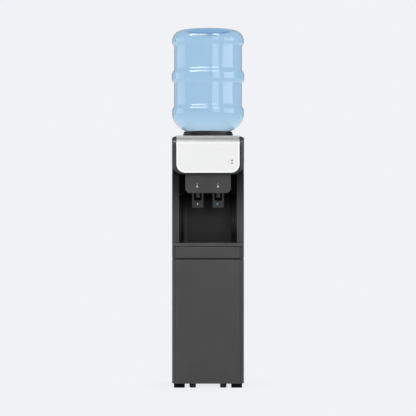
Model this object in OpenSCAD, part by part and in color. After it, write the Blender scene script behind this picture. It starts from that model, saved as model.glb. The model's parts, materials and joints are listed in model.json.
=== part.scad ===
// Slim free-standing bottled water cooler with two push-back taps
// Origin on the floor at the middle of the footprint, +Z up, the front faces -Y

/* [Cabinet] */
// Width over the side panels
body_w = 266; // [262:1:300]
// Depth from the fascia's face to the back of the condenser
body_d = 310; // [306:1:350]
// Height of the lower cabinet's panels
lower_h = 457; // [430:1:560]
// Height of the groove between the lower cabinet and the upper body
groove_h = 7; // [4:1:12]
// Height of the panel between the groove and the drip tray
mid_h = 41; // [36:1:70]
// Height of the head above the recess
head_h = 141; // [136:1:160]
// Thickness of the sheet steel
sheet_t = 1; // [0.8:0.1:1.4]
// Thickness of the moulded walls
wall_t = 2.5; // [2:0.1:3]
// Radius of the upright front edges
edge_r = 15; // [8:1:18]
// How far the front panels stand proud of the side panels
panel_proud = 8; // [6:0.5:12]
// Width of the strip on each side of the recess
strip_w = 26; // [20:1:30]

/* [Recess and drip tray] */
// Height of the recess above the drip tray's lip
recess_h = 254; // [240:1:320]
// Depth of the recess behind the side strips
recess_d = 100; // [92:1:110]
// How much narrower the back wall is than the opening, each side
splay = 11; // [6:1:24]
// Radius of the upright corners at the back of the recess
recess_r = 22; // [8:1:26]
// Height of the drip tray's lip
lip_h = 11; // [9:0.5:16]
// Height of the finger slot under the lip
slot_h = 3; // [2:0.5:6]
// Clearance around the drip tray
tray_gap = 3; // [1:0.5:5]
// Width of a slot in the drip grille
grille_slot_w = 4; // [3:0.5:6]
// Width of the bar between two slots
grille_bar_w = 4; // [3:0.5:6]

/* [Head] */
// Width of the head's ear on each side of the fascia
fascia_set = 17; // [15:1:23]
// Radius of the fascia's lower corners
fascia_r = 31; // [15:1:40]
// Radius of the fascia's rolled top edge
fascia_roll_r = 35; // [20:1:40]
// How far the fascia stands proud of the head shell
fascia_proud = 6; // [5:0.5:9]
// Radius of the head shell's lower corners
head_r = 40; // [20:1:48]
// Width of the tap panel
tap_panel_w = 168; // [160:1:180]
// Height of the tap panel
tap_panel_h = 70; // [66:1:76]
// Radius of the tap panel's lower corners
tap_panel_r = 17; // [8:1:22]
// Diameter of the indicator lenses
lens_d = 5.2; // [4:0.1:7]

/* [Taps] */
// Distance between the two taps
tap_spacing = 76; // [66:1:84]
// Diameter of the nozzles
nozzle_d = 17.5; // [14:0.5:18]
// Width of a paddle
paddle_w = 41; // [39:1:46]
// Height of the paddle's plate below its cut-out
paddle_plate_h = 26; // [20:1:34]
// Width of each arm of the paddle
paddle_arm_w = 6; // [4:0.5:7]
// Thickness of the paddle's plate
paddle_t = 3; // [2:0.5:4]

/* [Bottle] */
// Largest diameter, over the ribs
bottle_d = 273; // [260:1:276]
// Height of the bottle's widest part above its lower rib
bottle_body_h = 273; // [240:1:300]
// Thickness of the bottle's wall
bottle_wall = 1.6; // [1.2:0.1:2.2]
// Outer diameter of the neck
neck_d = 55; // [50:1:58]
// Height of the collar above the deck
collar_h = 19; // [16:1:28]
// Outer diameter of the collar's base
collar_d = 188; // [184:1:200]

/* [Water system] */
// Diameter of the cold reservoir
tank_d = 120; // [108:1:122]
// Outer diameter of a water hose
hose_d = 13; // [11:0.5:14]
// Turns of the evaporator round the reservoir
evaporator_turns = 8; // [4:1:9]

/* [Feet] */
// Height of the cabinet's underside above the floor
foot_h = 16; // [14:1:30]
// Width of a foot pad
pad_w = 40; // [30:1:50]
// Depth of a foot pad
pad_d = 50; // [30:1:60]
// Diameter of the levelling feet
levelling_d = 24; // [20:1:28]
// Gap between a levelling foot and the pad beside it
levelling_gap = 17.5; // [12:0.5:24]

/* [Refrigeration] */
// Diameter of the compressor's shell
compressor_d = 116; // [100:1:124]
// Height of the compressor's shell
compressor_h = 140; // [120:1:170]
// How far the condenser's straight runs end inside the side panels
condenser_set = 30; // [26:1:43]
// Distance between two runs of the condenser
condenser_pitch = 36; // [30:1:38]
// Number of the condenser's runs
condenser_runs = 16; // [8:2:16]
// Diameter of the condenser's tube
condenser_tube_d = 4.8; // [4:0.1:5.4]
// Space between the rear panels and the condenser
condenser_gap = 20; // [16:1:26]

/* [Hidden] */
$fn = 48;

// Overrun of every cut past its face
over = 1;
// Gap that keeps two pieces just clear of each other
clear_gap = 0.3;
// Radial clearance of a pin or stem in its bore
fit_gap = 0.05;
// Points of an arc on an outline
arc_steps = 8;
// Smallest radius of an inner corner
least_r = 1;

// Levels from the floor up
half_w = body_w / 2;
fascia_w = body_w - 2 * fascia_set;
condenser_w = body_w - 2 * condenser_set;
z_base = foot_h;
z_groove = z_base + lower_h;
z_mid = z_groove + groove_h;
z_slot = z_mid + mid_h;
z_lip = z_slot + slot_h;
z_recess = z_lip + lip_h;
z_head = z_recess + recess_h;
z_top = z_head + head_h;

// Planes from front to back
head_proud = 14;
y_front = -body_d / 2;
y_head = y_front + fascia_proud;
y_side = y_head + head_proud;
y_panel = y_side - panel_proud;
y_back = body_d / 2;
wire_d = 1.6;
wire_gap = 0.02;
wire_offset = (condenser_tube_d + wire_d) / 2 + wire_gap;
condenser_y = y_back - wire_offset - wire_d / 2;
y_rear = condenser_y - wire_offset - wire_d / 2 - condenser_gap;
y_side_rear = y_rear - sheet_t;

// Recess
opening_half = half_w - strip_w;
y_recess_back = y_side + recess_d;
tap_bay_d = 45;
y_chassis = y_side + tap_bay_d;
z_step = z_head - tap_panel_h - wall_t - clear_gap;

// Folded steel
flange_w = 12;
panel_edge_r = 3;
panel_corner_w = edge_r;
panel_half = half_w - panel_corner_w;

// Deck
deck_t = 2;
z_deck = z_top + deck_t;
ear_drop = 6;
head_edge_r = 12;

// One unit vector of any vector
function unit_of(v) = v / norm(v);

// An angle brought between minus and plus half a turn
function half_turn(a) = a > 180 ? a - 360 : a < -180 ? a + 360 : a;

// The corner b between a and c, rounded by an arc of radius r
function arc_corner(a, b, c, r) = r == 0 ? [b] :
    let(u = unit_of(a - b), v = unit_of(c - b), h = acos(u * v) / 2,
        m = b + unit_of(u + v) * r / sin(h),
        p = b + u * r / tan(h) - m, q = b + v * r / tan(h) - m,
        start = atan2(p.y, p.x), sweep = half_turn(atan2(q.y, q.x) - start))
    [for (i = [0:arc_steps]) m + r * [cos(start + sweep * i / arc_steps),
        sin(start + sweep * i / arc_steps)]];

// An outline with each corner rounded by its own radius
function rounded(pts, radii) = [for (i = [0:len(pts) - 1])
    each arc_corner(pts[(i + len(pts) - 1) % len(pts)], pts[i],
        pts[(i + 1) % len(pts)], radii[i])];

// The four corners of an upright rectangle
function rectangle(x0, x1, y0, y1) = [[x0, y0], [x1, y0], [x1, y1], [x0, y1]];

// A box between two corners
module block(lo, hi) translate(lo) cube(hi - lo);

// Upright, crosswise and lengthwise cylinders
module post(x, y, z0, z1, r) translate([x, y, z0]) cylinder(h = z1 - z0, r = r);
module rod_x(y, z, x0, x1, r)
    translate([x0, y, z]) rotate([0, 90, 0]) cylinder(h = x1 - x0, r = r);
module rod_y(x, z, y0, y1, r)
    translate([x, y1, z]) rotate([90, 0, 0]) cylinder(h = y1 - y0, r = r);

// A front outline in x and z carried from y0 to y1
module along_y(y0, y1) translate([0, y1, 0]) rotate([90, 0, 0])
    linear_extrude(y1 - y0) children();

// A side outline in y and z carried from x0 to x1
module along_x(x0, x1) translate([x0, 0, 0]) rotate([90, 0, 90])
    linear_extrude(x1 - x0) children();

// A plan outline in x and y carried from z0 to z1
module along_z(z0, z1) translate([0, 0, z0]) linear_extrude(z1 - z0) children();

// A round tube swept along a route, as one closed skin; ref is never along the route
module swept(route, r, sides, ref) {
    last = len(route) - 1;
    rings = [for (i = [0:last])
        let(t = unit_of(route[min(i + 1, last)] - route[max(i - 1, 0)]),
            s = unit_of(cross(t, ref)), u = cross(t, s))
        for (k = [0:sides - 1]) route[i] + r * (cos(k * 360 / sides) * s
            + sin(k * 360 / sides) * u)];
    walls = [for (i = [0:last - 1], k = [0:sides - 1])
        let(a = i * sides + k, b = i * sides + (k + 1) % sides)
        each [[a, a + sides, b], [b, a + sides, b + sides]]];
    polyhedron(points = rings, faces = concat([[for (k = [0:sides - 1]) k]], walls,
        [[for (k = [sides - 1:-1:0]) last * sides + k]]));
}

// A route with its corners rounded over a reach r, or less where a leg is short
bend_steps = 4;
leg_share = 0.45;
function leg(a, b, r) = a + min(r, leg_share * norm(b - a)) * unit_of(b - a);
function routed(pts, r) = concat([pts[0]], [for (i = [1:len(pts) - 2])
    let(p = leg(pts[i], pts[i - 1], r), q = leg(pts[i], pts[i + 1], r))
    for (k = [0:bend_steps]) let(t = k / bend_steps)
        (1 - t) * (1 - t) * p + 2 * t * (1 - t) * pts[i] + t * t * q], [pts[len(pts) - 1]]);

// A coil's route round an upright axis
function coil_route(x, y, z0, z1, r, turns, rings) = [for (i = [0:turns * rings])
    [x + r * cos(i * 360 / rings), y + r * sin(i * 360 / rings),
        z0 + (z1 - z0) * i / (turns * rings)]];

// Plan outline of the body, drawn in by inset, and by rear at the back
module body_plan(inset, rear = 0) {
    r = max(edge_r - inset, least_r);
    x = half_w - inset;
    y = y_side + inset;
    translate([-x, y + r]) square([2 * x, y_side_rear - rear - y - r]);
    translate([-x + r, y]) square([2 * (x - r), r]);
    for (s = [-1, 1]) translate([s * (x - r), y + r]) circle(r);
}

// Plan outline of the recess, drawn in by inset, from y0 backwards
function recess_x(inset, y) = opening_half - inset
    - splay * (y - y_side) / (y_recess_back - inset - y_side);
function recess_plan(inset, y0) =
    let(xb = opening_half - splay - inset, yb = y_recess_back - inset,
        xf = opening_half - inset, xc = recess_x(inset, y0), r = max(recess_r - inset, least_r))
    y0 < y_side ? rounded([[-xf, y0], [xf, y0], [xf, y_side], [xb, yb], [-xb, yb], [-xf, y_side]],
        [0, 0, 0, r, r, 0])
    : rounded([[-xc, y0], [xc, y0], [xb, yb], [-xb, yb]], [0, 0, r, r]);

// Feet: wide pads at the corners and two levelling feet at the front
pad_edge = 7;
pad_front_gap = 5;
pad_rear_gap = 4;
pad_r = 3;
levelling_set = 20;
stud_d = 8;
stud_reach = 14;
base_lip_h = 12;
levelling_spacing = 2 * (half_w - pad_edge - pad_w - levelling_gap) - levelling_d;
function pad_places() = [for (s = [-1, 1], y = [y_side + pad_front_gap,
    y_side_rear - pad_rear_gap - pad_d]) [s * (half_w - pad_edge - pad_w / 2), y]];

module foot_pads() color("black") for (p = pad_places())
    along_z(0, foot_h) polygon(rounded(
        rectangle(p.x - pad_w / 2, p.x + pad_w / 2, p.y, p.y + pad_d),
        [pad_r, pad_r, pad_r, pad_r]));

module levelling_foot(side) {
    x = side * levelling_spacing / 2;
    y = y_side + levelling_set;
    chamfer = 1;
    translate([x, y, 0]) rotate_extrude() polygon([[0, 0], [levelling_d / 2 - chamfer, 0],
        [levelling_d / 2, chamfer], [levelling_d / 2, foot_h - clear_gap],
        [stud_d / 2, foot_h - clear_gap], [stud_d / 2, foot_h + stud_reach],
        [0, foot_h + stud_reach]]);
}
module left_levelling_foot() color("dimgray") levelling_foot(-1);
module right_levelling_foot() color("dimgray") levelling_foot(1);

// Base plate: a steel pan that carries the feet and the compressor
compressor_y = 40;
compressor_bolt_x = 68;
compressor_bolt_y = 42;
compressor_bolt_d = 6;
grommet_d = 20;
grommet_h = 14;
base_t = 1.5;
z_floor = z_base + base_t;
function compressor_places() = [for (sx = [-1, 1], sy = [-1, 1])
    [sx * compressor_bolt_x, compressor_y + sy * compressor_bolt_y]];

module base_plate() color("darkgray") difference() {
    along_z(z_base, z_base + base_lip_h) body_plan(sheet_t, sheet_t);
    along_z(z_floor, z_base + base_lip_h + over) body_plan(sheet_t + base_t, sheet_t + base_t);
    for (s = [-1, 1]) post(s * levelling_spacing / 2, y_side + levelling_set,
        z_base - over, z_floor + over, stud_d / 2 + fit_gap);
    for (p = compressor_places())
        post(p.x, p.y, z_base - over, z_floor + over, compressor_bolt_d / 2 + fit_gap);
}

// Side panels: sheet steel folded round the front edge and in again at the back
module side_panel(side, z0, z1) difference() {
    along_z(z0, z1) intersection() {
        body_plan(0);
        translate([side > 0 ? opening_half : -half_w, y_side]) square([strip_w, body_d]);
    }
    along_z(z0 - over, z1 + over) body_plan(sheet_t, sheet_t);
    screw_holes();
    block([side > 0 ? 0 : flange_w - half_w, y_side_rear - sheet_t - over, z0 - over],
        [side > 0 ? half_w - flange_w : 0, y_side_rear + over, z1 + over]);
}
module left_lower_side() color("#4a4a4a") side_panel(-1, z_base, z_groove);
module right_lower_side() color("#4a4a4a") side_panel(1, z_base, z_groove);
module left_upper_side() color("#4a4a4a") side_panel(-1, z_mid, z_head);
module right_upper_side() color("#4a4a4a") side_panel(1, z_mid, z_head);

// Front panels: shallow pans that stand proud of the side panels
module front_pan(z0, z1) difference() {
    along_z(z0, z1) polygon(rounded(
        rectangle(-panel_half, panel_half, y_panel, y_side),
        [panel_edge_r, panel_edge_r, 0, 0]));
    block([-panel_half + wall_t, y_panel + wall_t, z0 + wall_t],
        [panel_half - wall_t, y_side + over, z1 - wall_t]);
}
module lower_front_panel() color("#4f4f4f") front_pan(z_base, z_groove);
module mid_front_panel() color("#4f4f4f") front_pan(z_mid, z_slot);

// Mid frame: the dark channel that joins the lower cabinet to the upper body
frame_reach = 10;
frame_t = 1.5;
frame_flange_w = 11;
module mid_frame() color("#222222") difference() {
    along_z(z_groove - frame_reach, z_mid + frame_reach) body_plan(sheet_t, sheet_t);
    along_z(z_groove - frame_reach - over, z_mid + frame_reach - frame_t)
        body_plan(sheet_t + frame_t, sheet_t + frame_t);
    along_z(z_mid, z_mid + frame_reach + over)
        body_plan(sheet_t + frame_flange_w, sheet_t + frame_flange_w);
}

// Rear panels: the lower one is vented and holds the mains inlet
vent_w = 62;
vent_h = 5;
vent_pitch = 14;
vent_rows = 9;
vent_set = 14;
vent_lift = 105;
vent_z = z_base + vent_lift;
inlet_set = 51;
inlet_x = inlet_set - half_w;
inlet_rise = 48;
inlet_z = z_base + inlet_rise;
inlet_w = 28;
inlet_h = 48;
rear_trim = 4;
drain_x = 0;
spout_d = 12;
line_hole_d = 10;
line_x = condenser_w / 2 + 2 * rear_trim;
condenser_lift = 150;
condenser_z = z_base + condenser_lift;
condenser_top = condenser_z + (condenser_runs - 1) * condenser_pitch;
knob_set = 63;
knob_x = half_w - knob_set;
knob_drop = 28;
knob_z = z_head - knob_drop;
knob_shaft_d = 6;
screw_x = half_w - flange_w / 2;

screw_head_d = 8;
screw_head_h = 2;
screw_d = 3.5;
screw_reach = 6;
screw_edge = 30;
function screw_levels() = [z_base + rear_trim + screw_edge, z_groove - screw_edge,
    z_mid + screw_edge, z_head - screw_edge];
module screw_holes() for (s = [-1, 1], z = screw_levels())
    rod_y(s * screw_x, z, y_side_rear - sheet_t - over, y_rear + over, screw_d / 2 + fit_gap);

module rear_sheet(z0, z1)
    block([-half_w + sheet_t, y_side_rear, z0], [half_w - sheet_t, y_rear, z1]);

module lower_rear_panel() color("#3a3a3a") difference() {
    rear_sheet(z_base + rear_trim, z_groove);
    for (s = [-1, 1], i = [0:vent_rows - 1])
        translate([s * (vent_set + vent_w / 2), 0, vent_z + i * vent_pitch])
            block([-vent_w / 2, y_side_rear - over, 0], [vent_w / 2, y_rear + over, vent_h]);
    block([inlet_x - inlet_w / 2, y_side_rear - over, inlet_z - inlet_h / 2],
        [inlet_x + inlet_w / 2, y_rear + over, inlet_z + inlet_h / 2]);
    rod_y(-line_x, condenser_z, y_side_rear - over, y_rear + over, line_hole_d / 2);
    screw_holes();
}
module upper_rear_panel() color("#3a3a3a") difference() {
    rear_sheet(z_mid, z_head);
    screw_holes();
    rod_y(drain_x, drain_z, y_side_rear - over, y_rear + over, spout_d / 2 + fit_gap);
    rod_y(-line_x, condenser_top, y_side_rear - over, y_rear + over, line_hole_d / 2);
    rod_y(knob_x, knob_z, y_side_rear - over, y_rear + over, knob_shaft_d / 2 + clear_gap);
}

// Screws that hold the rear panels to the side panels' flanges
module panel_screws() color("silver") for (s = [-1, 1], z = screw_levels()) {
    rod_y(s * screw_x, z, y_rear, y_rear + screw_head_h, screw_head_d / 2);
    rod_y(s * screw_x, z, y_rear - screw_reach, y_rear, screw_d / 2);
}

// Recess liner: the moulded bay behind the taps, with the drip tray's floor
liner_t = wall_t;
z_tray = z_slot + clear_gap;
z_shelf = z_slot;
module recess_liner() color("#1c1c1c") difference() {
    union() {
        along_z(z_shelf - liner_t, z_step + liner_t)
            polygon(recess_plan(-liner_t, y_side - over));
        along_z(z_step, z_head) polygon(rectangle(-opening_half - liner_t,
            opening_half + liner_t, y_side + sheet_t, y_chassis + liner_t));
        block([-panel_half, y_side + sheet_t, z_shelf - liner_t],
            [panel_half, y_side + sheet_t + liner_t, z_head]);
    }
    along_z(z_shelf, z_step) polygon(recess_plan(0, y_side - over));
    block([-opening_half, y_side - over, z_step - over],
        [opening_half, y_chassis, z_head - liner_t]);
    block([-tap_panel_w / 2 - clear_gap, y_side - over, z_head - liner_t - over],
        [tap_panel_w / 2 + clear_gap, y_chassis, z_head + over]);
    block([-half_w, y_side - 2 * over, z_shelf - liner_t - over],
        [half_w, y_side + sheet_t, z_head + over]);
    for (s = [-1, 1]) rod_y(s * tap_spacing / 2, tap_inlet_z, y_chassis - over,
        y_chassis + liner_t + over, shank_d / 2 + clear_gap);
}

// Tank shelf: carries the insulated reservoir behind the recess
shelf_t = 2;
shelf_y1 = 92;
shelf_lip_h = 10;
module tank_shelf() color("lightgray") difference() {
    union() {
        block([-half_w + sheet_t, y_recess_back + liner_t + clear_gap, z_step + liner_t - shelf_t],
            [half_w - sheet_t, shelf_y1, z_step + liner_t]);
        for (s = [-1, 1]) translate([s * (half_w - sheet_t - shelf_t / 2), 0, 0])
            block([-shelf_t / 2, y_recess_back + liner_t + clear_gap,
                z_step + liner_t - shelf_lip_h], [shelf_t / 2, shelf_y1, z_step + liner_t]);
    }
    post(suction_x, suction_y, z_step - over, z_step + liner_t + over, line_hole_d / 2);
}

// Head shell: black moulding behind the fascia, seen as the ears at its sides
function front_outline(z0, lower_r) = rounded(
    [[-half_w, z0], [half_w, z0], [half_w, z_top - ear_drop],
        [fascia_w / 2, z_top], [-fascia_w / 2, z_top], [-half_w, z_top - ear_drop]],
    [lower_r, lower_r, panel_edge_r, 0, 0, panel_edge_r]);
function front_inner(z0, lower_r) = rounded(
    [[-half_w + wall_t, z0], [half_w - wall_t, z0], [half_w - wall_t, z_top - ear_drop - wall_t],
        [fascia_w / 2, z_top - wall_t], [-fascia_w / 2, z_top - wall_t],
        [-half_w + wall_t, z_top - ear_drop - wall_t]],
    [lower_r, lower_r, 0, 0, 0, 0]);
function roll_outline(y0, y1, z0, z1, r) = rounded(rectangle(y0, y1, z0, z1), [0, 0, 0, r]);

module head_mass() {
    intersection() {
        along_y(y_head, y_side + edge_r) polygon(front_outline(z_head, head_r));
        along_x(-half_w, half_w)
            polygon(roll_outline(y_head, y_side_rear, z_head, z_top, fascia_roll_r));
        along_z(z_head, z_top) polygon(rounded(
            rectangle(-half_w, half_w, y_head, y_side_rear),
            [head_edge_r, head_edge_r, 0, 0]));
    }
    intersection() {
        along_y(y_side, y_rear) polygon(front_outline(z_head, 0));
        along_z(z_head, z_top) polygon(rounded(
            rectangle(-half_w, half_w, y_side, y_rear), [edge_r, edge_r, 0, 0]));
    }
}
module head_hollow() {
    intersection() {
        along_y(y_head + wall_t, y_side + wall_t + over)
            polygon(front_inner(z_head + wall_t, head_r - wall_t));
        along_x(-half_w, half_w) polygon(roll_outline(y_head + wall_t, y_side_rear,
            z_head, z_top - wall_t, fascia_roll_r - wall_t));
        along_z(z_head, z_top) polygon(rounded(
            rectangle(-half_w + wall_t, half_w - wall_t, y_head + wall_t, y_side_rear),
            [head_edge_r - wall_t, head_edge_r - wall_t, 0, 0]));
    }
    intersection() {
        along_y(y_side, y_rear - wall_t) polygon(front_inner(z_head - over, 0));
        along_z(z_head - over, z_top) polygon(rounded(
            rectangle(-half_w + wall_t, half_w - wall_t, y_side + wall_t, y_rear - wall_t),
            [edge_r - wall_t, edge_r - wall_t, 0, 0]));
        along_x(-half_w, half_w) polygon(roll_outline(y_head + wall_t, y_rear - wall_t,
            z_head - over, z_top - wall_t, fascia_roll_r - wall_t));
    }
}
module head_shell() color("#262626") difference() {
    head_mass();
    head_hollow();
    post(0, 0, z_top - wall_t - over, z_top + over, well_r + wall_t);
    for (z = [power_lens_z, cooling_lens_z])
        rod_y(lens_x, z, y_head - over, y_head + wall_t + over, lens_d / 2 + clear_gap);
}

// Fascia: pale cap over the front of the head, its top rolled back
fascia_lift = 5;
fascia_t = 3;
fascia_back = 36;
module fascia_mass(inset) intersection() {
    along_y(y_front + inset, y_head + fascia_back + over) polygon(rounded(
        rectangle(-fascia_w / 2 + inset, fascia_w / 2 - inset,
            z_head + fascia_lift + inset, z_deck - inset),
        [fascia_r - inset, fascia_r - inset, 0, 0]));
    along_x(-half_w, half_w) polygon(roll_outline(y_front + inset, y_head + fascia_back,
        z_head, z_deck - inset, fascia_roll_r - inset));
}
module fascia() color("#eeeeee") difference() {
    fascia_mass(0);
    fascia_mass(fascia_t);
    head_mass();
    for (z = [power_lens_z, cooling_lens_z])
        rod_y(lens_x, z, y_front - over, y_head + over, lens_d / 2 + clear_gap);
}

// Indicator lenses and the board behind them
lens_set = 27.5;
lens_x = fascia_w / 2 - lens_set;
lens_pitch = 10;
lens_lift = 40;
cooling_lens_z = z_head + lens_lift;
power_lens_z = cooling_lens_z + lens_pitch;
board_w = 36;
board_h = 44;
board_t = 1.6;
board_gap = 3;
y_board = y_head + wall_t + board_gap;
module lens(z) rod_y(lens_x, z, y_front, y_board, lens_d / 2);
module power_lens() color("#b01c24") lens(power_lens_z);
module cooling_lens() color("#2f9a55") lens(cooling_lens_z);
module indicator_board() color("darkgreen") {
    mid_z = (power_lens_z + cooling_lens_z) / 2;
    block([lens_x - board_w / 2, y_board, mid_z - board_h / 2],
        [lens_x + board_w / 2, y_board + board_t, mid_z + board_h / 2]);
    for (sx = [-1, 1], sz = [-1, 1])
        rod_y(lens_x + sx * (board_w / 2 - board_gap), mid_z + sz * (board_h / 2 - board_gap),
            y_head + wall_t, y_board, board_gap / 2);
}

// Top cover: the deck plate that the collar stands on
module top_cover() color("#262626") difference() {
    block([-fascia_w / 2 + clear_gap, y_head + fascia_back + clear_gap, z_top],
        [fascia_w / 2 - clear_gap, y_rear, z_deck]);
    post(0, 0, z_top - over, z_deck + over, well_r + wall_t / 2);
}

// Tap panel: dark cover in front of the taps, open below for nozzles and paddles
tap_panel_proud = 5;
tap_mouth_w = tap_spacing + paddle_w + 2 * wall_t;
y_tap_panel = y_side - tap_panel_proud;
z_tap_panel = z_head - tap_panel_h;
module tap_panel() color("#4b4b4b") difference() {
    along_y(y_tap_panel, y_chassis - clear_gap) polygon(rounded(
        rectangle(-tap_panel_w / 2, tap_panel_w / 2, z_tap_panel, z_head - clear_gap),
        [tap_panel_r, tap_panel_r, 0, 0]));
    along_y(y_tap_panel + wall_t, y_chassis + over) polygon(rounded(
        rectangle(-tap_panel_w / 2 + wall_t, tap_panel_w / 2 - wall_t,
            z_tap_panel + wall_t, z_head + over),
        [tap_panel_r - wall_t, tap_panel_r - wall_t, 0, 0]));
    block([-tap_mouth_w / 2, pivot_y - hub_r, z_tap_panel - over],
        [tap_mouth_w / 2, y_chassis + over, z_tap_panel + wall_t + over]);
}

// Taps: nozzle and valve barrel, with the inlet shank through the recess liner
nozzle_drop = 13;
nozzle_bore_d = 10;
barrel_d = 22;
chamber_d = 15;
barrel_h = 28;
shank_d = 16;
shank_bore_d = 7;
tail_d = 8;
tail_reach = 8;
nut_t = 6;
nut_d = 26;
tap_set = 22;
tap_y = y_chassis - tap_set;
seat_drop = 3;
z_seat = z_tap_panel - seat_drop;
z_nozzle = z_seat - nozzle_drop;
z_barrel = z_seat + barrel_h;
inlet_lift = 15;
tap_inlet_z = z_seat + inlet_lift;
y_tail = y_chassis + liner_t + nut_t + tail_reach;

module tap_body(side) {
    x = side * tap_spacing / 2;
    difference() {
        union() {
            post(x, tap_y, z_nozzle, z_seat + over, nozzle_d / 2);
            post(x, tap_y, z_seat, z_barrel, barrel_d / 2);
            rod_y(x, tap_inlet_z, tap_y, y_chassis + liner_t + nut_t, shank_d / 2 - fit_gap);
            rod_y(x, tap_inlet_z, tap_y, y_tail, tail_d / 2);
            rod_y(x, tap_inlet_z, y_chassis - wall_t, y_chassis, barrel_d / 2);
        }
        post(x, tap_y, z_nozzle - over, z_seat + over, nozzle_bore_d / 2);
        post(x, tap_y, z_seat, z_barrel + over, chamber_d / 2);
        rod_y(x, tap_inlet_z, tap_y, y_chassis, shank_bore_d / 2);
        rod_y(x, tap_inlet_z, y_chassis - over, y_tail + over, (tail_d - wall_t) / 2);
    }
}
module left_tap_body() color("#2b2b2b") tap_body(-1);
module right_tap_body() color("#2b2b2b") tap_body(1);

// Nuts that clamp the taps to the liner
module tap_nuts() color("whitesmoke") for (s = [-1, 1]) difference() {
    translate([s * tap_spacing / 2, y_chassis + liner_t + nut_t, tap_inlet_z])
        rotate([90, 0, 0]) cylinder(h = nut_t, d = nut_d, $fn = 6);
    rod_y(s * tap_spacing / 2, tap_inlet_z, y_chassis + liner_t - over,
        y_chassis + liner_t + nut_t + over, shank_d / 2);
}

// Valve stems: steel rod with a soft seal that closes the outlet
stem_d = 5;
seal_d = 13;
seal_h = 5;
stem_head_d = 12;
stem_head_h = 3;
bonnet_t = 3;
bonnet_d = 27;
bonnet_skirt_h = 4.5;
yoke_t = 3.5;
yoke_gap = 2;
z_bonnet = z_barrel + bonnet_t;
z_yoke = z_bonnet + yoke_gap;
z_stem_head = z_yoke + yoke_t + clear_gap;
module valve_stem(side) translate([side * tap_spacing / 2, tap_y, 0]) {
    translate([0, 0, z_seat]) cylinder(h = seal_h, r = seal_d / 2);
    translate([0, 0, z_seat]) cylinder(h = z_stem_head + stem_head_h - z_seat, r = stem_d / 2);
    translate([0, 0, z_stem_head]) cylinder(h = stem_head_h, r = stem_head_d / 2);
}
module left_valve_stem() color("white") valve_stem(-1);
module right_valve_stem() color("white") valve_stem(1);

// Return springs between the seals and the bonnets
spring_wire_d = 1;
spring_d = 12;
spring_turns = 6;
spring_rings = 8;
spring_sides = 6;
module valve_spring(side)
    swept(coil_route(side * tap_spacing / 2, tap_y,
        z_seat + seal_h + spring_wire_d / 2 + clear_gap, z_barrel - spring_wire_d / 2 - clear_gap,
        (spring_d - spring_wire_d) / 2, spring_turns, spring_rings),
        spring_wire_d / 2, spring_sides, [0, 0, 1]);
module left_valve_spring() color("silver") valve_spring(-1);
module right_valve_spring() color("silver") valve_spring(1);

// Bonnets: screwed on the barrels, with the ears for the pivot pins
pivot_set = 18;
hub_r = 4.5;
pin_d = 4;
ear_t = 4;
ear_set = 7;
pivot_y = tap_y - pivot_set;
pivot_lift = 1;
pivot_z = z_bonnet + pivot_lift;
module tap_bonnets() color("#2b2b2b") for (s = [-1, 1])
    translate([s * tap_spacing / 2, 0, 0]) difference() {
        union() {
            post(0, tap_y, z_barrel - bonnet_skirt_h, z_bonnet, bonnet_d / 2);
            for (e = [-1, 1]) translate([e * (ear_set + ear_t / 2), 0, 0]) {
                block([-ear_t / 2, pivot_y, z_bonnet - hub_r], [ear_t / 2, tap_y, z_bonnet]);
                rod_x(pivot_y, pivot_z, -ear_t / 2, ear_t / 2, hub_r);
            }
        }
        post(0, tap_y, z_barrel - hub_r - bonnet_skirt_h, z_barrel, barrel_d / 2 + fit_gap);
        post(0, tap_y, z_barrel - over, z_bonnet + over, stem_d / 2 + fit_gap);
        rod_x(pivot_y, pivot_z, -bonnet_d, bonnet_d, pin_d / 2 + fit_gap);
    }

// Pivot pins, each through two ears and the paddle's eyes
module paddle_pins() color("silver") for (s = [-1, 1])
    rod_x(pivot_y, pivot_z, s * tap_spacing / 2 - paddle_w / 2,
        s * tap_spacing / 2 + paddle_w / 2, pin_d / 2);

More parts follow.
